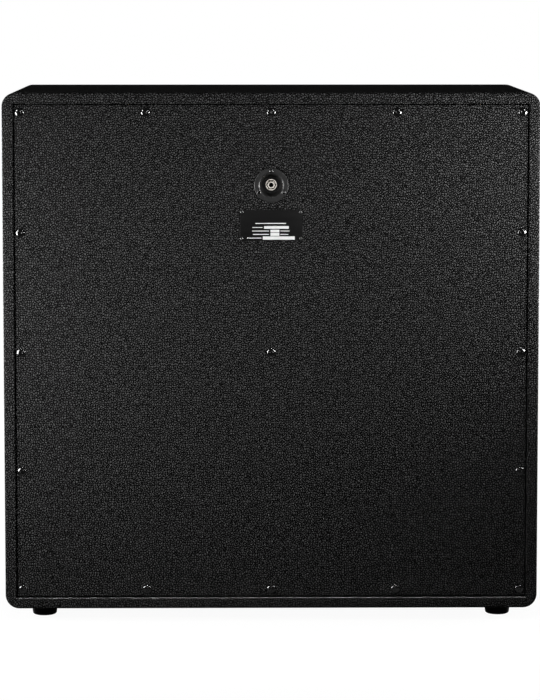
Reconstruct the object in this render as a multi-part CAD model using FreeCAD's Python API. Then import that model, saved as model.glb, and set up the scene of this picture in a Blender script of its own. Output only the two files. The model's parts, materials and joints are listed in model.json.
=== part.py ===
"""Closed-back guitar speaker cabinet with four speakers, modelled piece by piece."""
import FreeCAD
import Part
import math
import os

# Frame: millimetres, X across the width, Y from the grille to the rear panel, Z up.
# The origin lies on the floor under the middle of the box.

# Speaker layout, which sets the width and the height of the box
speaker_radius = 154.5
speaker_gap_x = 31.0
speaker_gap_z = 27.0
side_margin = 41.0
top_margin = 31.5

# Box
board_thickness = 15.0
vinyl = 0.5
cabinet_depth = 356.0
corner_radius = 20.0
edge_radius = 4.0
lip_radius = 2.0
finger_count = 11
cleat = 20.0
cover_stop_gap = 0.5

# Rear panel and its screws
panel_thickness = 15.0
panel_recess = 3.0
panel_gap = 1.2
panel_edge_radius = 1.5
post_width = 40.0
rear_screw_inset_x = 7.8
rear_screw_inset_z = 10.3
rear_screw_steps = 4
rear_head_radius = 6.4
rear_head_height = 2.6
rear_shank_radius = 2.1
rear_screw_bite = 14.0
recess_width = 1.2
recess_reach = 3.2
recess_depth = 1.6
hole_clearance = 0.1

# Front baffle and grille
grille_recess = 6.0
cloth = 0.6
grille_gap = 1.5
grille_frame_thickness = 12.0
grille_bar = 35.0
pad_thickness = 2.0
pad_half = 15.0
baffle_thickness = 18.0
baffle_gap = 0.5
baffle_screw_steps = 3
baffle_head_radius = 4.5
baffle_head_height = 2.4
baffle_shank_radius = 2.0
baffle_screw_bite = 14.0
counterbore_depth = 3.0
counterbore_gap = 0.5

# Feet
foot_height = 17.0
foot_top_radius = 19.0
foot_bottom_radius = 17.0
foot_edge_radius = 3.0
foot_inset_x = 53.0
foot_inset_y = 50.0
foot_bore_radius = 8.0
foot_bore_depth = 8.0
foot_washer_radius = 7.4
foot_washer_thickness = 1.2
foot_head_radius = 5.2
foot_head_height = 2.8
foot_shank_radius = 2.4
foot_screw_bite = 11.0

# Jack and its cup
jack_rise = 238.3
cup_flange_radius = 24.5
cup_flange_thickness = 2.0
cup_mouth_radius = 16.5
cup_floor_radius = 12.5
cup_depth = 16.0
cup_floor_thickness = 2.0
cup_wall = 1.5
cup_hole_gap = 0.5
cup_edge = 1.2
cup_screw_circle = 20.2
cup_head_radius = 2.7
cup_head_height = 1.0
cup_shank_radius = 1.3
cup_screw_length = 12.0
bushing_radius = 4.75
jack_bore_radius = 3.22
bushing_gap = 0.15
bushing_front = 7.0
jack_plate = 1.5
jack_plate_half = 9.0
jack_washer_radius = 8.0
jack_washer_thickness = 0.8
jack_nut_across = 12.7
jack_nut_thickness = 2.5
jack_arm_drop = 14.0
jack_arm_half = 5.0
jack_arm_length = 24.0
insulator_thickness = 1.5
insulator_length = 6.0
spring_sheet = 0.4
spring_half = 2.0
spring_barrel_radius = 1.5
spring_seat_gap = 0.1
spring_reach = 8.0
spring_rise = 7.0

# Riveted plate
plate_width = 88.6
plate_height = 44.4
plate_thickness = 0.8
plate_drop = 56.8
plate_corner = 1.5
pin_inset_x = 2.5
pin_inset_z = 3.5
pin_head_radius = 2.2
pin_head_height = 1.0
pin_shank_radius = 0.8
pin_length = 8.0

# Side handles
dish_length = 146.0
dish_height = 96.0
dish_depth = 44.0
dish_wall = 1.5
dish_corner = 3.0
flange_margin = 15.0
flange_thickness = 2.0
flange_corner = 10.0
dish_cutout_gap = 1.5
hinge_inset = 10.0
hinge_clearance = 0.1
hinge_corner_gap = 0.7
bail_radius = 4.0
bail_bend = 8.0
bail_arm = 42.0
bail_end_gap = 11.0
bail_stub = 2.0
grip_radius = 9.0
grip_half = 45.0
grip_edge = 2.0
handle_screw_inset = 6.5
handle_head_radius = 3.8
handle_head_height = 2.0
handle_shank_radius = 1.9
handle_screw_bite = 12.0

# Speaker frame, pressed from sheet
frame_sheet = 1.5
ledge_lap = 1.5
gasket_thickness = 3.0
gasket_inset = 0.5
flange_width = 13.0
ledge_drop = 4.5
ledge_width = 11.5
ledge_step = 0.5
basket_depth = 63.0
seat_width = 16.0
cup_radius = 64.0
back_depth = 18.0
frame_opening = 30.0
window_count = 6
window_angle = 36.0
window_margin_front = 10.0
window_margin_rear = 5.0
bolt_count = 4
bolt_inset = 6.0
bolt_radius = 2.5
bolt_head_radius = 4.6
bolt_head_height = 3.5
bolt_hole_gap = 0.2
tee_flange_radius = 9.5
tee_flange_thickness = 1.2
tee_barrel_radius = 3.6
tee_barrel_length = 9.0

# Speaker motor
coil_radius = 22.0
former_wall = 0.6
winding_wall = 0.6
winding_half = 7.0
pole_gap = 0.6
plate_gap = 0.8
top_plate_radius = 70.0
top_plate_thickness = 7.0
magnet_radius = 78.0
magnet_bore = 40.0
magnet_thickness = 20.0
magnet_edge = 1.5
yoke_radius = 70.0
yoke_thickness = 7.0
yoke_edge = 2.0

# Cone and its suspension
cone_paper = 0.8
cone_rim_inset = 12.5
cone_rim_depth = 12.0
cone_neck_rise = 4.5
cap_radius = 32.0
cap_rise = 10.0
cap_paper = 0.6
glue_gap = 0.1
surround_sheet = 0.8
surround_waves = 2
surround_wave_height = 1.2
spider_sheet = 0.8
spider_waves = 5
spider_wave_height = 1.2
spider_rim = 12.0
suspension_gap = 0.3

# Terminals and cables
terminal_half = 12.0
terminal_out = 4.0
terminal_thickness = 10.0
tab_length = 6.0
tab_half = 2.5
tab_spacing = 12.0
cable_radius = 2.0
cable_pair_spacing = 5.0

# Places that follow from the sizes above
cutout_radius = speaker_radius - flange_width
speaker_x = speaker_gap_x / 2 + speaker_radius
speaker_z = speaker_gap_z / 2 + speaker_radius
inner_x = speaker_x + speaker_radius + side_margin
inner_z = speaker_z + speaker_radius + top_margin
ply_x = inner_x + board_thickness
ply_z = inner_z + board_thickness
half_x = ply_x + vinyl
half_y = cabinet_depth / 2
half_z = ply_z + vinyl
centre_z = foot_height + half_z
panel_face = half_y - panel_recess
panel_rear = panel_face - vinyl
panel_front = panel_rear - panel_thickness
panel_x = inner_x - vinyl - panel_gap - vinyl
panel_z = inner_z - vinyl - panel_gap - vinyl
cloth_face = -half_y + grille_recess
grille_front = cloth_face + cloth
grille_rear = grille_front + grille_frame_thickness
baffle_front = grille_rear + pad_thickness
baffle_rear = baffle_front + baffle_thickness
grille_x = inner_x - vinyl - grille_gap - cloth
grille_z = inner_z - vinyl - grille_gap - cloth
jack_z = centre_z + jack_rise
cup_floor = panel_face - cup_depth
cup_seat = cup_floor + cup_floor_thickness
plate_z = jack_z - plate_drop
foot_x = half_x - foot_inset_x
foot_y = half_y - foot_inset_y
dish_y = dish_length / 2
dish_z = dish_height / 2
dish_floor = half_x - dish_depth
hinge_x = half_x - hinge_inset
hinge_z = centre_z + dish_z - dish_corner - hinge_corner_gap - bail_radius
bail_y = dish_y - bail_end_gap
stub_y = dish_y + dish_wall + bail_stub
handle_screw_y = dish_y + flange_margin - handle_screw_inset
handle_screw_z = dish_z + flange_margin - handle_screw_inset

# Depths inside a speaker, measured backwards from the rear face of the baffle
flange_w = gasket_thickness
ledge_w = flange_w + ledge_drop
seat_w = ledge_w + basket_depth
back_w = seat_w + back_depth
top_plate_w = back_w + frame_sheet
magnet_w = top_plate_w + top_plate_thickness
yoke_w = magnet_w + magnet_thickness
neck_w = seat_w - cone_neck_rise
bolt_circle = speaker_radius - bolt_inset
step_radius = cutout_radius + ledge_step
ledge_radius = step_radius - ledge_width
seat_radius = cup_radius + seat_width
former_radius = coil_radius + former_wall
cone_radius = ledge_radius - cone_rim_inset
cone_slope = (neck_w - cone_rim_depth) / (cone_radius - former_radius)

speaker_places = {
    "upper_left": (-speaker_x, centre_z + speaker_z),
    "upper_right": (speaker_x, centre_z + speaker_z),
    "lower_left": (-speaker_x, centre_z - speaker_z),
    "lower_right": (speaker_x, centre_z - speaker_z),
}


def vec(x, y, z):
    return FreeCAD.Vector(x, y, z)


X_AXIS = vec(1, 0, 0)
Y_AXIS = vec(0, 1, 0)
Z_AXIS = vec(0, 0, 1)


def block(x_low, x_high, y_low, y_high, z_low, z_high):
    return Part.makeBox(x_high - x_low, y_high - y_low, z_high - z_low, vec(x_low, y_low, z_low))


def rear_block(wide, high, y_low, y_high):
    """Square-cornered block on the middle line of the box, wide and high being half sizes."""
    return block(-wide, wide, y_low, y_high, centre_z - high, centre_z + high)


def edges_along(shape, axis):
    """Straight edges of a shape that run along one of the three axes."""
    found = []
    for edge in shape.Edges:
        low, high = edge.valueAt(edge.FirstParameter), edge.valueAt(edge.LastParameter)
        if high.sub(low).cross(axis).Length < 1e-6:
            found.append(edge)
    return found


def edges_at_y(shape, y):
    """Edges of a shape that lie flat in the plane at the given Y."""
    return [e for e in shape.Edges if abs(e.BoundBox.YMin - y) + abs(e.BoundBox.YMax - y) < 1e-4]


def rod(radius, low, high, axis):
    """Cylinder from the point low to the point high along an axis."""
    return Part.makeCylinder(radius, high.sub(low).Length, low, axis)


def hole_y(radius, y_low, y_high, x, z):
    return rod(radius, vec(x, y_low, z), vec(x, y_high, z), Y_AXIS)


def turned(profile):
    """Solid of revolution about Z from (radius, height) points."""
    points = [vec(radius, 0, height) for radius, height in profile]
    face = Part.Face(Part.makePolygon(points + points[:1]))
    return face.revolve(vec(0, 0, 0), Z_AXIS, 360)


def placed(shape, base, axis):
    """Copy of a shape whose own Z is laid along axis and whose origin is moved to base."""
    copy = shape.copy()
    turn = FreeCAD.Placement(base, FreeCAD.Rotation(Z_AXIS, axis))
    copy.Placement = turn.multiply(shape.Placement)
    return copy


def half_turned(shape):
    """Copy of a right-hand piece for the left-hand side."""
    copy = shape.copy()
    copy.rotate(vec(0, 0, 0), Z_AXIS, 180)
    return copy


def edge_points(wide, high, steps):
    """Points of a square grid that lie on its outer edge, as (x, z) in the frame of the box."""
    points = []
    for column in range(steps + 1):
        for row in range(steps + 1):
            if column in (0, steps) or row in (0, steps):
                x = wide * (2 * column / steps - 1)
                z = high * (2 * row / steps - 1)
                points.append((x, centre_z + z))
    return points


def corner_points(x, y):
    return [(-x, -y), (x, -y), (-x, y), (x, y)]


def circle_points(radius, count, start):
    angles = [math.radians(start + 360 * index / count) for index in range(count)]
    return [(radius * math.cos(angle), radius * math.sin(angle)) for angle in angles]


def domed_screw(head_radius, head_height, shank_radius, length):
    """Screw on Z with its head seat at zero: domed head above, pointed shank below."""
    ball = (head_radius ** 2 + head_height ** 2) / (2 * head_height)
    dome = Part.makeSphere(ball, vec(0, 0, head_height - ball))
    head = dome.common(Part.makeCylinder(head_radius, head_height))
    point = -length + 2 * shank_radius
    shank = turned([(0, 0), (shank_radius, 0), (shank_radius, point), (0, -length)])
    return head.fuse(shank).removeSplitter()


def cross_recess(screw, head_height):
    """Cut a cross into the top of a screw's head."""
    low = head_height - recess_depth
    arms = [
        block(-recess_reach, recess_reach, -recess_width / 2, recess_width / 2, low, head_height),
        block(-recess_width / 2, recess_width / 2, -recess_reach, recess_reach, low, head_height),
    ]
    return screw.cut(arms)


def covered_block(wide, high, y_half, corner, edge):
    """Box with rounded corners and rounded front and rear edges."""
    solid = rear_block(wide, high, -y_half, y_half)
    solid = solid.makeFillet(corner, edges_along(solid, Y_AXIS))
    return solid.makeFillet(edge, edges_at_y(solid, -y_half) + edges_at_y(solid, y_half))


def flared_outline(half, y_half, lip):
    """Outline of an opening with rounded mouths, as (across, y) edges that are closed."""
    inner = y_half - lip
    bend = lip * (1 - math.sqrt(0.5))
    corners = []
    for side, end in ((1, 1), (-1, 1), (-1, -1), (1, -1)):
        straight = vec(side * half, end * inner, 0)
        middle = vec(side * (half + bend), end * (y_half - bend), 0)
        mouth = vec(side * (half + lip), end * y_half, 0)
        corners.append((straight, middle, mouth))
    edges = []
    for index, (straight, middle, mouth) in enumerate(corners):
        following = corners[(index + 1) % 4]
        edges.append(Part.Arc(straight, middle, mouth).toShape())
        join = 2 if index % 2 == 0 else 0
        edges.append(Part.LineSegment(corners[index][join], following[join]).toShape())
    return Part.Wire(Part.__sortEdges__(edges))


def flared_opening(wide, high, y_half, lip):
    """Solid that cuts a rectangular opening with rounded mouths right through the box."""
    reach = 2 * (wide + high)
    across = Part.Face(flared_outline(wide, y_half, lip)).extrude(vec(0, 0, 2 * reach))
    across.translate(vec(0, 0, centre_z - reach))
    upright = Part.Face(flared_outline(high, y_half, lip)).extrude(vec(0, 0, 2 * reach))
    upright.translate(vec(0, 0, -reach))
    upright.rotate(vec(0, 0, 0), Y_AXIS, 90)
    upright.translate(vec(0, 0, centre_z))
    return across.common(upright)


def board_ring():
    """The four boards as one ring, before they are parted at the finger joints."""
    y_half = half_y - vinyl
    outside = covered_block(ply_x, ply_z, y_half, corner_radius - vinyl, edge_radius - vinyl)
    return outside.cut(flared_opening(inner_x, inner_z, y_half, lip_radius - vinyl))


def finger_cells(parity):
    """Corner cells of the finger joints that belong to one pair of boards."""
    pitch = 2 * half_y / finger_count
    cells = []
    for index in range(parity, finger_count, 2):
        y_low = -half_y + index * pitch
        for side_x, side_z in corner_points(1, 1):
            x_low, x_high = sorted((side_x * inner_x, side_x * half_x))
            z_low, z_high = sorted((side_z * inner_z, side_z * half_z))
            cells.append(block(x_low, x_high, y_low, y_low + pitch, centre_z + z_low, centre_z + z_high))
    return cells


def foot_holes(radius):
    top = foot_height + vinyl + foot_screw_bite + hole_clearance
    return [rod(radius, vec(x, y, 0), vec(x, y, top), Z_AXIS) for x, y in corner_points(foot_x, foot_y)]


def handle_cutouts():
    """Spaces through both sides for the handle dishes and their screws."""
    wide = stub_y + dish_cutout_gap
    high = dish_z + dish_wall + dish_cutout_gap
    tools = [block(inner_x / 2, 2 * half_x, -wide, wide, centre_z - high, centre_z + high)]
    depth = half_x - handle_screw_bite - hole_clearance
    for y, z in corner_points(handle_screw_y, handle_screw_z):
        low = vec(depth, y, centre_z + z)
        tools.append(rod(handle_shank_radius + hole_clearance, low, vec(2 * half_x, y, low.z), X_AXIS))
    return tools + [half_turned(tool) for tool in tools]


def boards():
    """Top, bottom, left and right boards, parted at their finger joints."""
    ring = board_ring()
    flat_fingers = finger_cells(0)
    side_fingers = finger_cells(1)
    holes = foot_holes(foot_shank_radius + hole_clearance)
    cutouts = handle_cutouts()
    made = {}
    for name, sign in (("bottom_board", -1), ("top_board", 1)):
        low, high = sorted((sign * inner_z, sign * half_z))
        field = block(-inner_x, inner_x, -half_y, half_y, centre_z + low, centre_z + high)
        own = [cell for cell in flat_fingers if (cell.BoundBox.Center.z - centre_z) * sign > 0]
        made[name] = ring.common(field.multiFuse(own).removeSplitter())
    for name, sign in (("left_side_board", -1), ("right_side_board", 1)):
        low, high = sorted((sign * inner_x, sign * half_x))
        field = block(low, high, -half_y, half_y, centre_z - inner_z, centre_z + inner_z)
        own = [cell for cell in side_fingers if cell.BoundBox.Center.x * sign > 0]
        made[name] = ring.common(field.multiFuse(own).removeSplitter()).cut(cutouts)
    made["bottom_board"] = made["bottom_board"].cut(holes)
    return {name: [shape] for name, shape in made.items()}


def cabinet_vinyl():
    """Cover over the outside, turned in over both lips."""
    outside = covered_block(half_x, half_z, half_y, corner_radius, edge_radius)
    cover = outside.cut(flared_opening(inner_x - vinyl, inner_z - vinyl, half_y, lip_radius))
    ring = board_ring()
    bare = rear_block(inner_x, inner_z, baffle_front - cover_stop_gap, panel_front + cover_stop_gap)
    holes = foot_holes(foot_shank_radius + hole_clearance)
    return [cover.cut([ring, bare] + holes + handle_cutouts())]


def cleat_frame(y_low, y_high):
    """Four square battens round the inside of the box."""
    top = block(-inner_x, inner_x, y_low, y_high, centre_z + inner_z - cleat, centre_z + inner_z)
    bottom = block(-inner_x, inner_x, y_low, y_high, centre_z - inner_z, centre_z - inner_z + cleat)
    high = inner_z - cleat
    right = block(inner_x - cleat, inner_x, y_low, y_high, centre_z - high, centre_z + high)
    left = block(-inner_x, cleat - inner_x, y_low, y_high, centre_z - high, centre_z + high)
    return [top, bottom, right, left]


def rear_screw_places():
    wide = panel_x + vinyl - rear_screw_inset_x
    high = panel_z + vinyl - rear_screw_inset_z
    return edge_points(wide, high, rear_screw_steps) + [(0, centre_z)]


def rear_screw_holes():
    low = panel_rear - panel_thickness - rear_screw_bite - hole_clearance
    radius = rear_shank_radius + hole_clearance
    return [hole_y(radius, low, half_y, x, z) for x, z in rear_screw_places()]


def rear_cleats():
    bars = cleat_frame(panel_front - cleat, panel_front)
    return [bar.cut(rear_screw_holes()) for bar in bars]


def centre_post():
    """Post between the baffle and the rear panel."""
    half = post_width / 2
    post = rear_block(half, half, baffle_rear, panel_front)
    screw = hole_y(baffle_shank_radius + hole_clearance, baffle_front, baffle_screw_tip(), 0, centre_z)
    return [post.cut(rear_screw_holes() + [screw])]


def cup_screw_places():
    return [(x, jack_z + z) for x, z in circle_points(cup_screw_circle, 3, 90)]


def pin_places():
    wide = plate_width / 2 - pin_inset_x
    high = plate_height / 2 - pin_inset_z
    return [(x, plate_z + z) for x, z in corner_points(wide, high)]


def panel_holes():
    """Holes through the rear panel and its cover."""
    holes = rear_screw_holes()
    holes.append(hole_y(cup_outside() + cup_hole_gap, cup_floor - cup_depth, half_y, 0, jack_z))
    for x, z in cup_screw_places():
        low = panel_face - cup_screw_length - hole_clearance
        holes.append(hole_y(cup_shank_radius + hole_clearance, low, half_y, x, z))
    for x, z in pin_places():
        low = panel_face - pin_length - hole_clearance
        holes.append(hole_y(pin_shank_radius + hole_clearance, low, half_y, x, z))
    return holes


def rear_panel():
    solid = rear_block(panel_x, panel_z, panel_front, panel_rear)
    solid = solid.makeFillet(panel_edge_radius - vinyl, edges_at_y(solid, panel_rear))
    return [solid.cut(panel_holes())]


def rear_panel_vinyl():
    """Cover of the rear panel, turned down over its four edges."""
    solid = rear_block(panel_x + vinyl, panel_z + vinyl, panel_front, panel_face)
    solid = solid.makeFillet(panel_edge_radius, edges_at_y(solid, panel_face))
    inside = rear_block(panel_x, panel_z, panel_front, panel_rear)
    inside = inside.makeFillet(panel_edge_radius - vinyl, edges_at_y(inside, panel_rear))
    return [solid.cut([inside] + panel_holes())]


def rear_panel_screws():
    length = panel_face - panel_front + rear_screw_bite
    screw = domed_screw(rear_head_radius, rear_head_height, rear_shank_radius, length)
    screw = cross_recess(screw, rear_head_height)
    return [placed(screw, vec(x, panel_face, z), Y_AXIS) for x, z in rear_screw_places()]


def baffle_screw_places():
    wide = inner_x - cleat / 2
    high = inner_z - cleat / 2
    return edge_points(wide, high, baffle_screw_steps) + [(0, centre_z)]


def baffle_screw_tip():
    return baffle_rear + baffle_screw_bite + hole_clearance


def baffle_screw_holes():
    radius = baffle_shank_radius + hole_clearance
    return [hole_y(radius, baffle_front, baffle_screw_tip(), x, z) for x, z in baffle_screw_places()]


def bolt_places():
    """All speaker bolts in the frame of the box."""
    places = []
    for x, z in speaker_places.values():
        for across, up in circle_points(bolt_circle, bolt_count, 45):
            places.append((x + across, z + up))
    return places


def front_baffle():
    solid = rear_block(inner_x - baffle_gap, inner_z - baffle_gap, baffle_front, baffle_rear)
    tools = baffle_screw_holes()
    sunk = baffle_front + counterbore_depth
    for x, z in baffle_screw_places():
        tools.append(hole_y(baffle_head_radius + counterbore_gap, baffle_front, sunk, x, z))
    for x, z in speaker_places.values():
        tools.append(hole_y(cutout_radius, baffle_front, baffle_rear, x, z))
    for x, z in bolt_places():
        tools.append(hole_y(tee_barrel_radius + hole_clearance, baffle_front, baffle_rear, x, z))
    return [solid.cut(tools)]


def baffle_cleats():
    bars = cleat_frame(baffle_rear, baffle_rear + cleat)
    return [bar.cut(baffle_screw_holes()) for bar in bars]


def baffle_screws():
    seat = baffle_front + counterbore_depth
    length = baffle_rear + baffle_screw_bite - seat
    screw = domed_screw(baffle_head_radius, baffle_head_height, baffle_shank_radius, length)
    return [placed(screw, vec(x, seat, z), -Y_AXIS) for x, z in baffle_screw_places()]


def grille_frame():
    """Frame of flat bars with a cross in the middle."""
    solid = rear_block(grille_x, grille_z, grille_front, grille_rear)
    windows = []
    for side_x, side_z in corner_points(1, 1):
        x_low, x_high = sorted((side_x * grille_bar / 2, side_x * (grille_x - grille_bar)))
        z_low, z_high = sorted((side_z * grille_bar / 2, side_z * (grille_z - grille_bar)))
        z_low, z_high = centre_z + z_low, centre_z + z_high
        windows.append(block(x_low, x_high, grille_front, grille_rear, z_low, z_high))
    return [solid.cut(windows)]


def grille_cloth():
    """Cloth stretched over the frame and turned down over its edges."""
    solid = rear_block(grille_x + cloth, grille_z + cloth, cloth_face, grille_rear)
    return [solid.cut(rear_block(grille_x, grille_z, grille_front, grille_rear))]


def grille_fastener_pads():
    places = edge_points(grille_x - grille_bar / 2, grille_z - grille_bar / 2, 2)
    pad = block(-pad_half, pad_half, grille_rear, baffle_front, -pad_half, pad_half)
    return [placed(pad, vec(x, 0, z), Z_AXIS) for x, z in places]


def rubber_feet():
    """Tapered feet with a deep hole from below for washer and screw."""
    hole = foot_shank_radius + hole_clearance
    profile = [(hole, foot_bore_depth), (hole, foot_height), (foot_top_radius, foot_height),
               (foot_bottom_radius, 0), (foot_bore_radius, 0), (foot_bore_radius, foot_bore_depth)]
    foot = turned(profile)
    rim = [e for e in foot.Edges if e.BoundBox.ZMax < 1e-4 and e.BoundBox.XMax > foot_bore_radius + 1e-4]
    foot = foot.makeFillet(foot_edge_radius, rim)
    return [placed(foot, vec(x, y, 0), Z_AXIS) for x, y in corner_points(foot_x, foot_y)]


def foot_washers():
    hole = foot_shank_radius + hole_clearance
    low = foot_bore_depth - foot_washer_thickness
    washer = Part.makeCylinder(foot_washer_radius, foot_washer_thickness, vec(0, 0, low))
    washer = washer.cut(Part.makeCylinder(hole, foot_washer_thickness, vec(0, 0, low)))
    return [placed(washer, vec(x, y, 0), Z_AXIS) for x, y in corner_points(foot_x, foot_y)]


def foot_screws():
    seat = foot_bore_depth - foot_washer_thickness
    length = foot_height + vinyl + foot_screw_bite - seat
    screw = domed_screw(foot_head_radius, foot_head_height, foot_shank_radius, length)
    return [placed(screw, vec(x, y, seat), -Z_AXIS) for x, y in corner_points(foot_x, foot_y)]


def cup_outside():
    return cup_mouth_radius + cup_wall


def jack_cup():
    """Round dish let into the rear panel, with a flange outside and a hole for the jack in its floor."""
    hole = bushing_radius + bushing_gap
    seat = cup_floor_thickness - cup_depth
    top = cup_flange_thickness
    profile = [(hole, -cup_depth), (cup_outside(), -cup_depth), (cup_outside(), 0),
               (cup_flange_radius, 0), (cup_flange_radius, top - cup_edge),
               (cup_flange_radius - cup_edge, top), (cup_mouth_radius, top),
               (cup_floor_radius, seat), (hole, seat)]
    cup = placed(turned(profile), vec(0, panel_face, jack_z), Y_AXIS)
    tools = []
    for x, z in cup_screw_places():
        tools.append(hole_y(cup_shank_radius + hole_clearance, panel_face, half_y, x, z))
        tools.append(hole_y(cup_head_radius + hole_clearance, cup_head_seat(), half_y, x, z))
    return [cup.cut(tools)]


def cup_head_seat():
    return panel_face + cup_flange_thickness - cup_head_height


def jack_cup_screws():
    length = cup_head_seat() - panel_face + cup_screw_length
    screw = domed_screw(cup_head_radius, cup_head_height, cup_shank_radius, length)
    return [placed(screw, vec(x, cup_head_seat(), z), Y_AXIS) for x, z in cup_screw_places()]


def jack_frame():
    """Mounting plate with its bushing and the arm that carries the contact."""
    plate_y = cup_floor - jack_plate
    half = jack_plate_half
    plate = block(-half, half, plate_y, cup_floor, jack_z - jack_arm_drop, jack_z + half)
    bushing = hole_y(bushing_radius, cup_floor, cup_seat + bushing_front, 0, jack_z)
    arm_z = jack_z - jack_arm_drop
    arm_y = plate_y - jack_arm_length
    arm = block(-jack_arm_half, jack_arm_half, arm_y, plate_y, arm_z, arm_z + jack_plate)
    bore = hole_y(jack_bore_radius, arm_y, half_y, 0, jack_z)
    return [plate.multiFuse([bushing, arm]).removeSplitter().cut(bore)]


def jack_washer():
    high = cup_seat + jack_washer_thickness
    washer = hole_y(jack_washer_radius, cup_seat, high, 0, jack_z)
    return [washer.cut(hole_y(bushing_radius + bushing_gap, cup_seat, high, 0, jack_z))]


def jack_nut():
    low = cup_seat + jack_washer_thickness
    corner = jack_nut_across / math.sqrt(3)
    points = [vec(x, low, jack_z + z) for x, z in circle_points(corner, 6, 0)]
    nut = Part.Face(Part.makePolygon(points + points[:1])).extrude(vec(0, jack_nut_thickness, 0))
    hole = bushing_radius + bushing_gap
    return [nut.cut(hole_y(hole, low, low + jack_nut_thickness, 0, jack_z))]


def arm_end():
    """Free end of the jack's arm: its Y, and the Z of its upper face."""
    return cup_floor - jack_plate - jack_arm_length, jack_z - jack_arm_drop + jack_plate


def jack_insulator():
    y, z = arm_end()
    return [block(-jack_arm_half, jack_arm_half, y, y + insulator_length, z, z + insulator_thickness)]


def spring_pivot():
    """Middle of the rolled root of the tip spring."""
    y, z = arm_end()
    rise = insulator_thickness + spring_seat_gap + spring_barrel_radius
    return y + insulator_length / 2, z + rise


def jack_tip_spring():
    """Bent leaf that presses on the tip of a plug, with a rolled root."""
    y, z = spring_pivot()
    reach = spring_reach
    leaf = [(0, 0), (reach / 2, spring_rise * 0.8), (reach, spring_rise), (reach * 1.5, spring_rise * 0.7)]
    lower = [vec(-spring_half, y + along, z + up) for along, up in leaf]
    upper = [vec(-spring_half, y + along - spring_sheet, z + up + spring_sheet) for along, up in leaf]
    points = lower + upper[::-1]
    strip = Part.Face(Part.makePolygon(points + points[:1])).extrude(vec(2 * spring_half, 0, 0))
    root = rod(spring_barrel_radius, vec(-spring_half, y, z), vec(spring_half, y, z), X_AXIS)
    return [root.fuse(strip).removeSplitter()]


def nameplate():
    half_w = plate_width / 2
    half_h = plate_height / 2
    high = panel_face + plate_thickness
    plate = block(-half_w, half_w, panel_face, high, plate_z - half_h, plate_z + half_h)
    plate = plate.makeFillet(plate_corner, edges_along(plate, Y_AXIS))
    hole = pin_shank_radius + hole_clearance
    return [plate.cut([hole_y(hole, panel_face, high, x, z) for x, z in pin_places()])]


def nameplate_pins():
    length = plate_thickness + pin_length
    pin = domed_screw(pin_head_radius, pin_head_height, pin_shank_radius, length)
    return [placed(pin, vec(x, panel_face + plate_thickness, z), Y_AXIS) for x, z in pin_places()]


def side_block(along, high, corner, x_low, x_high):
    """Block through the right side with rounded corners, along and high being half sizes."""
    solid = block(x_low, x_high, -along, along, centre_z - high, centre_z + high)
    return solid.makeFillet(corner, edges_along(solid, X_AXIS))


def handle_dish():
    """Right-hand dish with its flange and the holes for the bail's ends."""
    face = half_x + flange_thickness
    pan = side_block(dish_y + dish_wall, dish_z + dish_wall, dish_corner + dish_wall,
                     dish_floor - dish_wall, half_x)
    flange = side_block(dish_y + flange_margin, dish_z + flange_margin, flange_corner, half_x, face)
    inside = side_block(dish_y, dish_z, dish_corner, dish_floor, face)
    hinge = hole_y(bail_radius + hinge_clearance, -stub_y, stub_y, hinge_x, hinge_z)
    tools = [inside, hinge]
    for y, z in corner_points(handle_screw_y, handle_screw_z):
        low = vec(half_x, y, centre_z + z)
        tools.append(rod(handle_shank_radius + hole_clearance, low, vec(face, y, low.z), X_AXIS))
    return pan.fuse(flange).removeSplitter().cut(tools)


def rounded_route(points, radii):
    """Wire of straight runs joined by tangent arcs, one radius for each inner point."""
    edges = []
    last = points[0]
    for index in range(1, len(points) - 1):
        corner = points[index]
        back = points[index - 1].sub(corner).normalize()
        ahead = points[index + 1].sub(corner).normalize()
        half = back.getAngle(ahead) / 2
        radius = radii[index - 1]
        reach = radius / math.tan(half)
        bisector = back.add(ahead).normalize()
        centre = corner.add(bisector.multiply(radius / math.sin(half)))
        start = corner.add(back.multiply(reach))
        end = corner.add(ahead.multiply(reach))
        middle = centre.add(corner.sub(centre).normalize().multiply(radius))
        edges.append(Part.LineSegment(last, start).toShape())
        edges.append(Part.Arc(start, middle, end).toShape())
        last = end
    edges.append(Part.LineSegment(last, points[-1]).toShape())
    return Part.Wire(edges)


def tube(route, start, ahead, radius):
    """Solid round bar along a route."""
    section = Part.Wire(Part.makeCircle(radius, start, ahead))
    return route.makePipeShell([section], True, False)


def handle_bail():
    """Right-hand bail: a round bar bent to a loop, with its ends in the dish."""
    low = hinge_z - bail_arm
    route = [(-stub_y, hinge_z), (-bail_y, hinge_z), (-bail_y, low), (bail_y, low),
             (bail_y, hinge_z), (stub_y, hinge_z)]
    points = [vec(hinge_x, y, z) for y, z in route]
    wire = rounded_route(points, [bail_bend] * 4)
    return tube(wire, points[0], Y_AXIS, bail_radius)


def handle_grip():
    """Right-hand grip: a sleeve on the bail's crossbar."""
    z = hinge_z - bail_arm
    sleeve = hole_y(grip_radius, -grip_half, grip_half, hinge_x, z)
    sleeve = sleeve.makeFillet(grip_edge, edges_at_y(sleeve, -grip_half) + edges_at_y(sleeve, grip_half))
    return sleeve.cut(hole_y(bail_radius + hole_clearance, -grip_half, grip_half, hinge_x, z))


def handle_screws():
    face = half_x + flange_thickness
    length = flange_thickness + handle_screw_bite
    screw = domed_screw(handle_head_radius, handle_head_height, handle_shank_radius, length)
    places = corner_points(handle_screw_y, handle_screw_z)
    right = [placed(screw, vec(face, y, centre_z + z), X_AXIS) for y, z in places]
    return right + [half_turned(shape) for shape in right]


def bolt_holes(radius, low, high):
    places = circle_points(bolt_circle, bolt_count, 45)
    return [rod(radius, vec(x, y, low), vec(x, y, high), Z_AXIS) for x, y in places]


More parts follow.
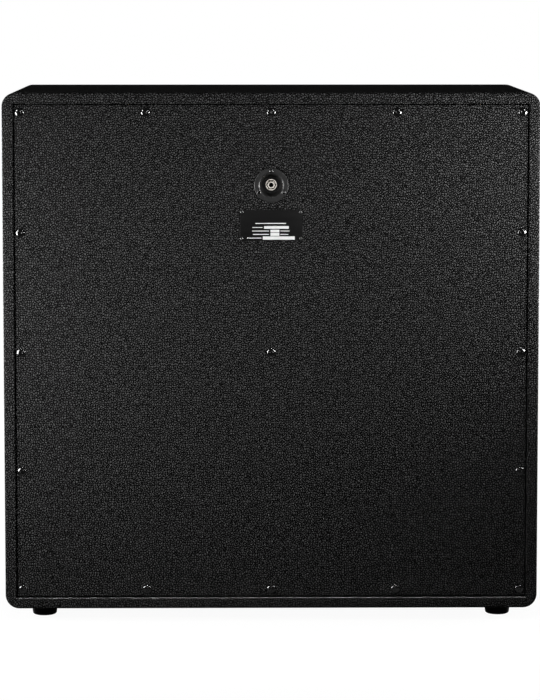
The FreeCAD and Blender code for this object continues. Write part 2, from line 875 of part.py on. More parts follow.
def speaker_gasket():
    ring = Part.makeCylinder(speaker_radius - gasket_inset, gasket_thickness)
    holes = bolt_holes(bolt_radius + bolt_hole_gap, 0, gasket_thickness)
    return ring.cut([Part.makeCylinder(cutout_radius + gasket_inset, gasket_thickness)] + holes)


def speaker_frame():
    """Pressed basket: flange, ledge for the surround, windowed cone, spider seat and back plate."""
    sheet = frame_sheet
    slant = ledge_lap * sheet
    profile = [(speaker_radius, flange_w), (speaker_radius, flange_w + sheet),
               (step_radius + sheet, flange_w + sheet), (step_radius + sheet, ledge_w + sheet),
               (ledge_radius + slant, ledge_w + sheet), (seat_radius, seat_w + sheet),
               (cup_radius, seat_w + sheet), (cup_radius, top_plate_w), (frame_opening, top_plate_w),
               (frame_opening, back_w), (cup_radius - sheet, back_w), (cup_radius - sheet, seat_w),
               (seat_radius - sheet / 2, seat_w), (ledge_radius, ledge_w), (step_radius, ledge_w),
               (step_radius, flange_w)]
    tools = bolt_holes(bolt_radius + bolt_hole_gap, flange_w, flange_w + sheet)
    low = ledge_w + window_margin_front
    high = seat_w - window_margin_rear
    corners = [(frame_opening, low), (speaker_radius, low), (speaker_radius, high), (frame_opening, high)]
    points = [vec(r, 0, w) for r, w in corners]
    sector = Part.Face(Part.makePolygon(points + points[:1])).revolve(vec(0, 0, 0), Z_AXIS, window_angle)
    for index in range(window_count):
        window = sector.copy()
        window.rotate(vec(0, 0, 0), Z_AXIS, 360 * index / window_count)
        tools.append(window)
    return turned(profile).cut(tools)


def speaker_top_plate():
    bore = former_radius + winding_wall + plate_gap
    plate = Part.makeCylinder(top_plate_radius, top_plate_thickness, vec(0, 0, top_plate_w))
    return plate.cut(Part.makeCylinder(bore, top_plate_thickness, vec(0, 0, top_plate_w)))


def speaker_magnet():
    edge = magnet_edge
    profile = [(magnet_bore, magnet_w), (magnet_radius - edge, magnet_w), (magnet_radius, magnet_w + edge),
               (magnet_radius, yoke_w - edge), (magnet_radius - edge, yoke_w), (magnet_bore, yoke_w)]
    return turned(profile)


def speaker_yoke():
    """Rear plate of the motor with its pole in one piece."""
    pole = coil_radius - pole_gap
    rear = yoke_w + yoke_thickness
    profile = [(0, top_plate_w), (pole, top_plate_w), (pole, yoke_w), (yoke_radius, yoke_w),
               (yoke_radius, rear - yoke_edge), (yoke_radius - yoke_edge, rear), (0, rear)]
    return turned(profile)


def voice_coil():
    """Former with its winding, which sits astride the top plate."""
    middle = top_plate_w + top_plate_thickness / 2
    outside = former_radius + winding_wall
    rear = middle + winding_half + former_wall
    profile = [(coil_radius, neck_w), (former_radius, neck_w), (former_radius, middle - winding_half),
               (outside, middle - winding_half), (outside, middle + winding_half),
               (former_radius, middle + winding_half), (former_radius, rear), (coil_radius, rear)]
    return turned(profile)


def speaker_cone():
    """Paper cone and its dust cap."""
    rise = cone_paper * math.sqrt(1 + cone_slope ** 2)
    profile = [(former_radius, neck_w), (cone_radius, cone_rim_depth),
               (cone_radius, cone_rim_depth + rise), (former_radius, neck_w + rise)]
    rim = neck_w - (cap_radius - former_radius) * cone_slope - glue_gap
    ball = (cap_radius ** 2 + cap_rise ** 2) / (2 * cap_rise)
    centre = vec(0, 0, rim - cap_rise + ball)
    dome = Part.makeSphere(ball, centre).cut(Part.makeSphere(ball - cap_paper, centre))
    cap = dome.common(Part.makeCylinder(cap_radius, cap_rise, vec(0, 0, rim - cap_rise)))
    return [turned(profile), cap]


def pleats(low, high, waves, height):
    """Points of an even zigzag from low to high, both (radius, depth)."""
    count = 4 * waves
    points = []
    for index in range(1, count):
        share = index / count
        swing = height * math.sin(2 * math.pi * waves * share)
        points.append((low[0] + (high[0] - low[0]) * share, low[1] + (high[1] - low[1]) * share + swing))
    return points


def pleated_ring(inner, outer, rim, waves, height, sheet):
    """Turned sheet with a flat rim, its front at the given depths, pleated down to its inner edge."""
    front = [inner] + pleats(inner, outer, waves, height) + [outer, (rim, outer[1])]
    rear = [(radius, depth + sheet) for radius, depth in front]
    return turned(front + rear[::-1])


def surround():
    """Pleated edge between the frame's ledge and the rim of the cone."""
    inner = (cone_radius + suspension_gap, cone_rim_depth)
    outer = (ledge_radius + glue_gap, ledge_w - surround_sheet)
    return pleated_ring(inner, outer, cutout_radius, surround_waves, surround_wave_height, surround_sheet)


def spider():
    """Pleated disc between the spider seat and the former."""
    depth = seat_w - spider_sheet
    inner = (former_radius + suspension_gap, depth)
    outer = (cup_radius, depth)
    rim = cup_radius + spider_rim
    return pleated_ring(inner, outer, rim, spider_waves, spider_wave_height, spider_sheet)


def terminal_middle():
    """Depth of the terminal block's middle, halfway along the frame's cup."""
    return seat_w + frame_sheet + terminal_thickness / 2 + glue_gap


def speaker_terminal():
    """Terminal block on the frame's cup with two tabs, pointing along the speaker's own X."""
    middle = terminal_middle()
    low, high = middle - terminal_thickness / 2, middle + terminal_thickness / 2
    out = cup_radius + terminal_out
    body = block(cup_radius / 2, out, -terminal_half, terminal_half, low, high)
    body = body.cut(Part.makeCylinder(cup_radius + glue_gap, top_plate_w))
    tabs = []
    for side in (-1, 1):
        across = side * tab_spacing / 2
        tabs.append(block(out, out + tab_length, across - tab_half, across + tab_half,
                          middle - frame_sheet / 2, middle + frame_sheet / 2))
    return body.multiFuse(tabs).removeSplitter()


def speaker_bolt():
    length = flange_w + frame_sheet + baffle_thickness
    return domed_screw(bolt_head_radius, bolt_head_height, bolt_radius, length)


def tee_nut():
    """Flange on the front of the baffle with a barrel that lines the bolt hole."""
    flange = Part.makeCylinder(tee_flange_radius, tee_flange_thickness)
    barrel = Part.makeCylinder(tee_barrel_radius, tee_barrel_length, vec(0, 0, -tee_barrel_length))
    length = tee_flange_thickness + tee_barrel_length
    bore = Part.makeCylinder(bolt_radius + hole_clearance, length, vec(0, 0, -tee_barrel_length))
    return flange.fuse(barrel).removeSplitter().cut(bore)


def at_speaker(shape, name):
    x, z = speaker_places[name]
    return placed(shape, vec(x, baffle_rear, z), Y_AXIS)


def at_all_speakers(shape):
    return [at_speaker(shape, name) for name in speaker_places]


def speaker_terminals():
    """Terminal blocks, each turned towards the middle of the box."""
    right = speaker_terminal()
    left = right.copy()
    left.rotate(vec(0, 0, 0), Z_AXIS, 180)
    return [at_speaker(right if "left" in name else left, name) for name in speaker_places]


def speaker_bolts():
    seat = baffle_rear + flange_w + frame_sheet
    return [placed(speaker_bolt(), vec(x, seat, z), Y_AXIS) for x, z in bolt_places()]


def speaker_tee_nuts():
    return [placed(tee_nut(), vec(x, baffle_front, z), -Y_AXIS) for x, z in bolt_places()]


def cable_end(name, upper):
    """Outer end of one of a speaker's tabs, and the way to the middle of the box."""
    x, z = speaker_places[name]
    inward = 1 if "left" in name else -1
    reach = cup_radius + terminal_out + tab_length
    shift = tab_spacing / 2 if upper else -tab_spacing / 2
    return vec(x + inward * reach, baffle_rear + terminal_middle(), z + shift), inward


def cable(points):
    """Cable along runs joined by the largest arcs that the runs allow."""
    radii = []
    for index in range(1, len(points) - 1):
        back = points[index - 1].sub(points[index])
        ahead = points[index + 1].sub(points[index])
        turn = math.pi - back.getAngle(ahead)
        radii.append(0.45 * min(back.Length, ahead.Length) / math.tan(turn / 2))
    route = rounded_route(points, radii)
    print("cable radii", [round(radius, 1) for radius in radii], "length", round(route.Length, 1))
    return tube(route, points[0], points[1].sub(points[0]), cable_radius)


def jack_cable(name):
    """Cable from the jack's arm to an upper speaker."""
    end, inward = cable_end(name, True)
    y, z = arm_end()
    start = vec(-inward * cable_pair_spacing / 2, y, z - jack_plate / 2)
    span = end.sub(start)
    points = [start, start.add(vec(0, -30, 0)), start.add(vec(span.x * 0.2, -78, -12)),
              start.add(vec(span.x * 0.42, -132, -38)), end.add(vec(inward * 28, 22, 12)),
              end.add(vec(inward * 18, 0, 0)), end]
    return cable(points)


def link_cable(upper, lower):
    """Cable that joins an upper speaker to the one below it, clear of the centre post."""
    top, inward = cable_end(upper, False)
    foot = cable_end(lower, True)[0]
    free = abs(top.x) - post_width / 2
    steps = [(0, 0, 0), (0.3, 0, 0), (0.52, 3, 30), (0.6, 0, 80), (0.65, 4, 130)]
    down = [top.add(vec(inward * share * free, back, -drop)) for share, back, drop in steps]
    up = [foot.add(vec(inward * share * free, back, drop)) for share, back, drop in steps]
    return cable(down + up[::-1])


def speaker_cables():
    return [jack_cable("upper_left"), jack_cable("upper_right"),
            link_cable("upper_left", "lower_left"), link_cable("upper_right", "lower_right")]


def all_nodes():
    """Every piece of the cabinet, as lists of solids by name."""
    nodes = boards()
    for piece in (cabinet_vinyl, rear_panel, rear_panel_vinyl, rear_cleats, rear_panel_screws, centre_post,
                  front_baffle, baffle_cleats, baffle_screws, grille_frame, grille_cloth,
                  grille_fastener_pads, rubber_feet, foot_washers, foot_screws, jack_cup, jack_cup_screws,
                  jack_frame, jack_washer, jack_nut, jack_insulator, jack_tip_spring, nameplate,
                  nameplate_pins, handle_screws, speaker_terminals, speaker_bolts, speaker_tee_nuts,
                  speaker_cables):
        nodes[piece.__name__] = piece()
    for piece in (handle_dish, handle_bail, handle_grip):
        right = piece()
        nodes["right_" + piece.__name__] = [right]
        nodes["left_" + piece.__name__] = [half_turned(right)]
    for piece in (speaker_frame, speaker_gasket, speaker_top_plate, speaker_magnet, speaker_yoke):
        nodes[piece.__name__ + "s"] = at_all_speakers(piece())
    for name in speaker_places:
        nodes["cone_" + name] = [at_speaker(solid, name) for solid in speaker_cone()]
        nodes["voice_coil_" + name] = [at_speaker(voice_coil(), name)]
        nodes["surround_" + name] = [at_speaker(surround(), name)]
        nodes["spider_" + name] = [at_speaker(spider(), name)]
    return nodes


def write_nodes():
    os.makedirs("parts", exist_ok=True)
    for name, shapes in all_nodes().items():
        solids = [solid for shape in shapes for solid in shape.Solids]
        whole = solids[0] if len(solids) == 1 else Part.makeCompound(solids)
        whole.exportStep(os.path.join("parts", name + ".step"))
        print(name, len(solids), "solids", round(sum(solid.Volume for solid in solids)), "mm3",
              "valid" if whole.isValid() else "not valid")


write_nodes()
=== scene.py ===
"""Closed-back guitar speaker cabinet: its coverings, hardware, cloth and stage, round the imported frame."""
import bmesh
import bpy
import functools
import json
import math
import random
from contextlib import contextmanager
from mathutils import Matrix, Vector


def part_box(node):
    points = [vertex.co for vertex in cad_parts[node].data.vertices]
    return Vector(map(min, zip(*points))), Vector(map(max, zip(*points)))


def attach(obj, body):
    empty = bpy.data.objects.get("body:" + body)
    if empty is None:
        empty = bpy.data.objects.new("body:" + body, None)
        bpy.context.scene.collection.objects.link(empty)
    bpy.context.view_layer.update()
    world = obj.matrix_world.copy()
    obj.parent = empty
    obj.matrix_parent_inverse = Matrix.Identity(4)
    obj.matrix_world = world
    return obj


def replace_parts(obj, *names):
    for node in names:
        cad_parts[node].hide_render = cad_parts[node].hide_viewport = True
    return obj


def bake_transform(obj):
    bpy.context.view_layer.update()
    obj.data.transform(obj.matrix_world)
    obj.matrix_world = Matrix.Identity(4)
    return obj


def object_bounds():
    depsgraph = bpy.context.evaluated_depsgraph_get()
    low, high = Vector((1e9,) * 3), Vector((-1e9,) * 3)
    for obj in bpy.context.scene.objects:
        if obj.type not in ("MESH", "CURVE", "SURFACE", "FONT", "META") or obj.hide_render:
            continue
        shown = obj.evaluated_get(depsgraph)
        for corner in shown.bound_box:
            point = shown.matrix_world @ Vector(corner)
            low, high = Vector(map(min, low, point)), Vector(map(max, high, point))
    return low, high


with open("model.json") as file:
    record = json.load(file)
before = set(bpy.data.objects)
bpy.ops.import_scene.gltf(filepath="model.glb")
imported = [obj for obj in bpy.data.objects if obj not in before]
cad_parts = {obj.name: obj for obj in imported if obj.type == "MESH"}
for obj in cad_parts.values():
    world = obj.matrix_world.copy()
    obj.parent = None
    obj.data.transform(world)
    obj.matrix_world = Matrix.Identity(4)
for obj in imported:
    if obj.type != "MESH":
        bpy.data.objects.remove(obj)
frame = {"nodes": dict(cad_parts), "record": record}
cad_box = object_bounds()

bl_info = {
    "name": "Guitar speaker cabinet",
    "version": (1, 0, 0),
    "blender": (4, 5, 0),
    "location": "View3D > Sidebar > Cabinet",
    "description": "Models the coverings, hardware, cloth and stage of a closed-back speaker cabinet",
    "category": "Object",
}

MM = 0.001
TOUCH = 0.01 * MM
FULL_TURN = 2 * math.pi
QUARTER_TURN = math.pi / 2
ROUND_STEPS = 5
EVEN = (1, 1, 1)
ASKEW = (0.5, 0.9, 0.7)
DROP_Y = Vector((1, 0, 1))
SIDES = {"left": -1, "right": 1}
GRAIN_MAP = "grain"
SPEAKERS = ("upper_left", "upper_right", "lower_left", "lower_right")
node_slots = {part["node"]: part["material_slot"] for part in frame["record"]["subparts"]}


# Settings that a user would change


def length(name, description, millimetres):
    """A size, given in millimetres."""
    return bpy.props.FloatProperty(
        name=name, description=description, default=millimetres * MM, precision=5, unit="LENGTH")


def number(name, description, default):
    return bpy.props.FloatProperty(name=name, description=description, default=default, precision=4)


def power(name, description, watts):
    return bpy.props.FloatProperty(name=name, description=description, default=watts, unit="POWER")


def angle(name, description, degrees):
    return bpy.props.FloatProperty(
        name=name, description=description, default=math.radians(degrees), subtype="ANGLE")


def place(name, description, *millimetres):
    return bpy.props.FloatVectorProperty(
        name=name, description=description, default=[value * MM for value in millimetres],
        precision=4, subtype="TRANSLATION", unit="LENGTH")


def colour(name, description, *rgb):
    """A colour, given as one grey or as red, green and blue."""
    return bpy.props.FloatVectorProperty(
        name=name, description=description, default=(*(rgb * 3)[:3], 1.0), size=4, min=0, max=1,
        subtype="COLOR")


class CabinetCoverSettings(bpy.types.PropertyGroup):
    """Vinyl covering of the box and of the rear panel."""

    sheet: length("Sheet", "Thickness of the vinyl", 0.5)
    corner_radius: length("Corner radius", "Rounding of the four long corners of the box", 20)
    edge_radius: length("Edge radius", "Rounding of the outer front and rear edges", 4)
    lip_radius: length("Lip radius", "Rounding where the vinyl turns into the box", 2)
    panel_edge: length("Panel edge", "Rounding of the edge of the rear panel", 1.5)
    pucker: length("Pucker", "Height of the ring that the vinyl throws up round a screw", 0.5)
    dimple: length("Dimple", "Depth to which a screw draws the vinyl in", 0.3)
    # Dark is painted shade in the grain's grooves and Light a painted highlight on its crowns
    dark: colour("Dark", "Vinyl in the grooves of its grain", 0.0005)
    light: colour("Light", "Vinyl on the crowns of its grain", 0.075)
    grain: length("Grain", "Width of one pebble of the grain", 3.2)
    grain_height: length("Grain height", "Height of the grain", 1.3)


class CabinetHardwareSettings(bpy.types.PropertyGroup):
    """Screws, jack, plate, feet and handles."""

    rear_head: length("Rear screw head", "Radius of a rear panel screw's head", 6.4)
    cup_head: length("Cup screw head", "Radius of a jack cup screw's head", 2.7)
    handle_head: length("Handle screw head", "Radius of a handle screw's head", 3.8)
    pin_head: length("Pin head", "Radius of a plate pin's head", 2.2)
    foot_edge: length("Foot edge", "Rounding of the lower edge of a foot", 3)
    foot_top: length("Foot top", "Radius of a foot where it meets the box", 19)
    foot_bottom: length("Foot bottom", "Radius of a foot on the floor", 17)
    cup_mouth: length("Cup mouth", "Radius of the opening of the jack cup", 16.5)
    cup_floor: length("Cup floor", "Radius of the floor of the jack cup", 12.5)
    dish_length: length("Dish length", "Length of a handle dish inside its flange", 146)
    dish_height: length("Dish height", "Height of a handle dish inside its flange", 96)
    print_white: colour("Print", "Paint of the blank fields on the plate", 0.92)


class CabinetClothSettings(bpy.types.PropertyGroup):
    """Grille cloth and speaker suspension."""

    # Dark thread is the painted shade between threads and Light thread the painted highlight on their crowns
    dark: colour("Dark thread", "Ground thread of the grille cloth", 0.006)
    light: colour("Light thread", "Raised thread of the grille cloth", 0.06)
    pitch: length("Thread pitch", "Distance between threads of the grille cloth", 2.4)
    fold: length("Fold radius", "Rounding of the cloth where it turns over its frame", 2)


class CabinetStageSettings(bpy.types.PropertyGroup):
    """Camera, lamps and floor."""

    camera_place: place("Camera", "Where the camera stands", 33, 4358, 904)
    camera_pitch: angle("Pitch", "How far the camera looks down", 5.38)
    camera_yaw: angle("Yaw", "How far the camera looks past square", -0.59)
    focal_length: number("Focal length", "Lens of the camera in millimetres", 152.2)
    shift_x: number("Shift across", "Sideways shift of the lens", -0.012)
    shift_y: number("Shift up", "Upward shift of the lens", -0.12)
    left_power: power("Left lamp", "Power of the tall soft lamp at the picture's left", 3.2)
    right_power: power("Right lamp", "Power of the soft lamp at the picture's right", 2.7)
    left_glint_power: power(
        "Left glint lamp", "Power of the lamp that the screws mirror at their left", 0.5)
    right_glint_power: power(
        "Right glint lamp", "Power of the lamp that the screws mirror at their right", 0.3)
    overhead_power: power("Overhead lamp", "Power of the soft lamp above", 1.2)
    lip_power: power("Lip lamp", "Power of the narrow lamp that edges the lower lip with light", 1.0)
    jack_power: power("Jack lamp", "Power of the small lamp that the jack mirrors", 0.035)
    front_power: power("Front lamps", "Power of each soft lamp on the grille side", 40)
    ambient: number("Ambient", "Strength of the light from all round", 0.004)
    mirrored: number("Mirrored surround", "Share of the white surround that gloss and metal mirror", 0.02)
    floor_grey: colour("Floor", "Colour of the floor", 0.06)
    floor_white: number("Floor white", "Brightness that the floor by the cabinet shows by itself", 0.95)


# Selection and modelling by hand


def only(*pieces):
    """Goes to object mode with just these pieces selected, and the last one active."""
    if bpy.context.object and bpy.context.object.mode != "OBJECT":
        bpy.ops.object.mode_set(mode="OBJECT")
    bpy.ops.object.select_all(action="DESELECT")
    for piece in pieces:
        piece.select_set(True)
        bpy.context.view_layer.objects.active = piece


@contextmanager
def editing(piece):
    """Edit mode on one piece."""
    only(piece)
    bpy.ops.object.mode_set(mode="EDIT")
    yield
    bpy.ops.object.mode_set(mode="OBJECT")


def pick(piece, kind, wanted):
    """Selects just the vertices, edges or faces that pass a test."""
    bpy.ops.mesh.select_mode(type=kind)
    bpy.ops.mesh.select_all(action="DESELECT")
    mesh = bmesh.from_edit_mesh(piece.data)
    items = {"VERT": mesh.verts, "EDGE": mesh.edges, "FACE": mesh.faces}[kind]
    found = [item for item in items if wanted(item)]
    if not found:
        raise RuntimeError(f"{piece.name}: nothing to select")
    for item in found:
        item.select_set(True)
    mesh.select_flush_mode()
    bmesh.update_edit_mesh(piece.data)


def pick_verts(piece, wanted):
    pick(piece, "VERT", lambda vert: wanted(vert.co))


def pick_edges(piece, wanted):
    pick(piece, "EDGE", lambda edge: wanted(edge.verts[0].co, edge.verts[1].co))


def pick_faces(piece, wanted):
    pick(piece, "FACE", lambda face: wanted(face.calc_center_median(), face.normal))


def pick_creases(piece, wanted):
    """Selects the edges that bend by more than a third of a quarter turn, and pass a test."""
    def creased(edge):
        return len(edge.link_faces) == 2 and edge.calc_face_angle() > QUARTER_TURN / 3

    pick(piece, "EDGE", lambda edge: creased(edge) and wanted(edge.verts[0].co, edge.verts[1].co))


def pick_all(kind="FACE"):
    bpy.ops.mesh.select_mode(type=kind)
    bpy.ops.mesh.select_all(action="SELECT")


def extrude(*step):
    """Extrudes the selected faces or vertices by a step."""
    bpy.ops.mesh.extrude_region_move(TRANSFORM_OT_translate={"value": step})


def extrude_edges(*step):
    bpy.ops.mesh.extrude_edges_move(TRANSFORM_OT_translate={"value": step})


def resize(centre, *factors):
    bpy.ops.transform.resize(value=factors, center_override=centre)


def round_edges(radius, steps=ROUND_STEPS):
    bpy.ops.mesh.bevel(offset=radius, segments=steps, affect="EDGES")


def cut(axis, *values):
    """Cuts the selected faces across one axis, keeping all of them selected."""
    normal = [1 if index == "XYZ".index(axis) else 0 for index in range(3)]
    for value in values:
        pick_all()
        bpy.ops.mesh.bisect(plane_co=[value * part for part in normal], plane_no=normal)


def face_outwards():
    """Merges doubled points and turns all faces outwards."""
    pick_all("VERT")
    bpy.ops.mesh.remove_doubles(threshold=TOUCH / 10)
    bpy.ops.mesh.normals_make_consistent(inside=False)


def apply_modifier(piece, kind, **values):
    """Adds a modifier with these values and applies it."""
    only(piece)
    modifier = piece.modifiers.new(kind.lower(), kind)
    for name, value in values.items():
        setattr(modifier, name, value)
    bpy.ops.object.modifier_apply(modifier=modifier.name)


def thicken(piece, thickness):
    """Gives a skin its thickness, inwards from its outer face."""
    apply_modifier(piece, "SOLIDIFY", thickness=thickness, offset=-1, use_even_offset=True)


def carve(piece, cutter):
    """Cuts a shape out of a piece."""
    apply_modifier(piece, "BOOLEAN", object=cutter, operation="DIFFERENCE", solver="EXACT")
    bpy.data.objects.remove(cutter)


def named(name):
    """The piece that an operator has just added, with its place in its mesh."""
    piece = bpy.context.object
    piece.name = name
    piece.data.name = name
    bpy.ops.object.transform_apply(location=True, rotation=True, scale=True)
    return piece


def block(name, low, high):
    only()
    low, high = Vector(low), Vector(high)
    bpy.ops.mesh.primitive_cube_add(size=1, location=(low + high) / 2, scale=high - low)
    return named(name)


def sheet_facing(name, direction, centre, size):
    """A flat rectangle that faces along X or Y, of the given size across and up."""
    only()
    turn = (0, math.copysign(QUARTER_TURN, direction.x), 0)
    if direction.y:
        turn = (math.copysign(QUARTER_TURN, -direction.y), 0, 0)
    bpy.ops.mesh.primitive_plane_add(size=1, location=centre, rotation=turn)
    piece = named(name)
    with editing(piece):
        pick_all()
        factors = (1, *size) if direction.x else (size[0], 1, size[1])
        resize(centre, *factors)
    return piece


def pillar(name, centre, radius, depth, sides, turn=0):
    """A prism along Y."""
    only()
    bpy.ops.mesh.primitive_cylinder_add(
        vertices=sides, radius=radius, depth=depth, location=centre, rotation=(QUARTER_TURN, turn, 0))
    return named(name)


def turned(name, outline, steps=64, axis="Y"):
    """A piece turned about the Y or Z axis from outline points of radius, height and rounding."""
    def spot(radius, height):
        return Vector((radius, height, 0) if axis == "Y" else (radius, 0, height))

    only()
    bpy.ops.mesh.primitive_plane_add(size=MM, location=(0, 0, 0))
    piece = named(name)
    with editing(piece):
        pick_all("VERT")
        bpy.ops.mesh.merge(type="CENTER")
        bpy.ops.transform.translate(value=spot(*outline[0][:2]))
        for before, after in zip(outline, outline[1:]):
            extrude(*(spot(*after[:2]) - spot(*before[:2])))
        for radius, height, rounding in [point for point in outline if len(point) == 3]:
            pick_verts(piece, lambda co: (co - spot(radius, height)).length < TOUCH)
            bpy.ops.mesh.bevel(offset=rounding, segments=ROUND_STEPS, affect="VERTICES")
        pick_all("VERT")
        bpy.ops.mesh.spin(steps=steps, angle=FULL_TURN, center=(0, 0, 0), axis=spot(0, 1))
        face_outwards()
    return piece


def repeat(name, model, places, turns=None):
    """Copies of a modelled piece, each moved to its place and turned, as one piece."""
    copies = []
    for spot, turn in zip(places, turns or [(0, 0, 0)] * len(places)):
        only(model)
        bpy.ops.object.duplicate(linked=False)
        copies.append(bpy.context.object)
        copies[-1].location = spot
        copies[-1].rotation_euler = turn
    bpy.data.objects.remove(model)
    only(*copies)
    if len(copies) > 1:
        bpy.ops.object.join()
    return named(name)


def settle(piece, slot, body="cabinet", stands_for=(), sharp=35):
    """Finishes a piece: smooth shading, its material, and the CAD body and nodes it goes with."""
    only(piece)
    bpy.ops.object.shade_smooth_by_angle(angle=math.radians(sharp))
    piece.data.materials.clear()
    piece.data.materials.append(finish_for(slot))
    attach(piece, body)
    # The finishes of the plate's pins and print aren't slots of the record
    if stands_for:
        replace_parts(piece, *stands_for)
    return piece


def finish_part(piece, slot, wanted):
    """Gives the faces that pass a test a finish of their own."""
    piece.data.materials.append(finish_for(slot))
    with editing(piece):
        pick_faces(piece, wanted)
        piece.active_material_index = len(piece.data.materials) - 1
        bpy.ops.object.material_slot_assign()


def lay_grain(piece):
    """Lays the vinyl's grain flat on each side of a piece, in metres."""
    with editing(piece):
        pick_all()
        bpy.ops.uv.cube_project(cube_size=1, correct_aspect=False)
    piece.data.uv_layers.active.name = GRAIN_MAP


def middle(node):
    """The middle of a node's box."""
    low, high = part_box(node)
    return (low + high) / 2


# Finishes


def add(tree, kind, inputs=None, **settings):
    """A shader node with its settings, and its inputs set or linked."""
    made = tree.nodes.new(kind)
    for key, value in settings.items():
        setattr(made, key, value)
    for key, value in (inputs or {}).items():
        if isinstance(value, bpy.types.NodeSocket):
            tree.links.new(value, made.inputs[key])
        else:
            made.inputs[key].default_value = value
    return made


def start_finish(name, metal=0.0, specular=0.5):
    """A new material with its shares of metal and specular, and the piece's own coordinates."""
    finish = bpy.data.materials.new(name)
    finish.use_nodes = True
    tree = finish.node_tree
    shader = tree.nodes["Principled BSDF"]
    shader.inputs["Metallic"].default_value = metal
    shader.inputs["Specular IOR Level"].default_value = specular
    return finish, tree, shader, add(tree, "ShaderNodeTexCoord").outputs["Object"]


def noise(tree, where, size, detail=2.0, stretch=EVEN):
    """Noise in patches of one size, made longer along an axis by stretch, and askew to all faces."""
    askew = add(tree, "ShaderNodeMapping", {
        "Vector": where, "Scale": [1 / part for part in stretch], "Rotation": ASKEW})
    return add(tree, "ShaderNodeTexNoise", {
        "Vector": askew.outputs["Vector"], "Scale": 1 / size, "Detail": detail}).outputs[0]


def bands(tree, where, pitch, axis):
    """Rounded ridges across one axis."""
    radians_per_metre = 20  # of a wave texture whose scale is 1
    return add(tree, "ShaderNodeTexWave", {
        "Vector": where, "Scale": FULL_TURN / (radians_per_metre * pitch), "Phase Offset": -QUARTER_TURN},
        wave_type="BANDS", bands_direction=axis).outputs["Fac"]


def shades(tree, factor, dark, light, low=0.3, high=0.7):
    """Colour between two shades, by a texture."""
    ramp = add(tree, "ShaderNodeValToRGB", {"Fac": factor})
    for stop, position, shade in zip(ramp.color_ramp.elements, (low, high), (dark, light)):
        stop.position = position
        stop.color = shade
    return ramp.outputs["Color"]


def between(tree, factor, low, high):
    """Number between two limits, by a texture."""
    limits = {"Value": factor, "To Min": low, "To Max": high}
    return add(tree, "ShaderNodeMapRange", limits).outputs["Result"]


def relief(tree, shader, height, depth):
    """Raises the surface by a texture, to the given depth."""
    bump = add(tree, "ShaderNodeBump", {"Height": height, "Distance": depth, "Strength": 1.0})
    tree.links.new(bump.outputs["Normal"], shader.inputs["Normal"])


def grey(value):
    return (value, value, value, 1.0)


def mottled(name, dark, light, rough, patch, depth, stretch=EVEN, **shares):
    """A finish whose colour, gloss and surface vary over patches, with its shares of metal or specular."""
    broad_patch = patch * 6
    finish, tree, shader, where = start_finish(name, **shares)
    broad = noise(tree, where, broad_patch, detail=3.0, stretch=stretch)
    fine = noise(tree, where, patch, stretch=stretch)
    tree.links.new(shades(tree, broad, dark, light), shader.inputs["Base Color"])
    tree.links.new(between(tree, fine, *rough), shader.inputs["Roughness"])
    relief(tree, shader, fine, depth)
    return finish


def pebbled_vinyl():
    """Black vinyl with a wormy pebble grain, shinier on its crowns, with painted shade in its grooves and a
    painted highlight on its crowns.
    """
    look = bpy.context.scene.cabinet_cover
    grain = look.grain
    bend_size, bend, lump_size = 1.7 * grain, 0.9 * grain, 1.4 * grain
    groove, shoulder = 0.07, 0.34
    lump_heights, pale_heights, rough = (0.45, 1.3), (0.25, 0.75), (0.55, 0.36)
    finish, tree, shader, where = start_finish("black_pebbled_vinyl", specular=0.12)
    flat = add(tree, "ShaderNodeUVMap", uv_map=GRAIN_MAP).outputs["UV"]
    wander = add(tree, "ShaderNodeTexNoise", {
        "Vector": flat, "Scale": 1 / bend_size, "Detail": 1.0}).outputs["Color"]
    bent = add(tree, "ShaderNodeVectorMath", {0: wander, 1: [bend] * 3, 2: flat},
               operation="MULTIPLY_ADD").outputs["Vector"]
    pebbles = add(tree, "ShaderNodeTexVoronoi", {"Vector": bent, "Scale": 1 / grain, "Randomness": 0.95},
                  feature="DISTANCE_TO_EDGE", voronoi_dimensions="2D").outputs["Distance"]
    crown = add(tree, "ShaderNodeMapRange", {"Value": pebbles, "From Min": groove, "From Max": shoulder},
                interpolation_type="SMOOTHSTEP").outputs["Result"]
    lumps = between(tree, noise(tree, where, lump_size, detail=1.0), *lump_heights)
    height = add(tree, "ShaderNodeMath", {0: crown, 1: lumps}, operation="MULTIPLY").outputs[0]
    # The colour follows the grain's height: painted shade in the grooves, painted highlight on the crowns
    tree.links.new(shades(tree, height, look.dark, look.light, *pale_heights), shader.inputs["Base Color"])
    tree.links.new(between(tree, height, *rough), shader.inputs["Roughness"])
    relief(tree, shader, height, look.grain_height)
    return finish


def woven(name, dark, light, pitch, rough, depth):
    """Plain-woven cloth in the XZ plane, with slubs along Z, painted shade between its threads and a painted
    highlight on their crowns.
    """
    slub_width, slub_stretch = pitch * 1.5, (1, 1, 9)
    finish, tree, shader, where = start_finish(name, specular=0.25)
    check = add(tree, "ShaderNodeTexChecker", {"Vector": where, "Scale": 1 / pitch}).outputs["Fac"]
    weave = add(tree, "ShaderNodeMix", {
        0: check, 2: bands(tree, where, pitch, "X"), 3: bands(tree, where, pitch, "Z")}).outputs[0]
    slub = noise(tree, where, slub_width, stretch=slub_stretch)
    # The colour follows each thread's hump, toned by the slubs: painted shade at its edges, painted
    # highlight on its crown
    worn_print_and_thread_shade = add(tree, "ShaderNodeMath", {0: weave, 1: slub}, operation="MULTIPLY").outputs[0]
    tree.links.new(shades(tree, worn_print_and_thread_shade, dark, light, low=0.1, high=0.6), shader.inputs["Base Color"])
    tree.links.new(between(tree, slub, *rough), shader.inputs["Roughness"])
    relief(tree, shader, weave, depth)
    return finish


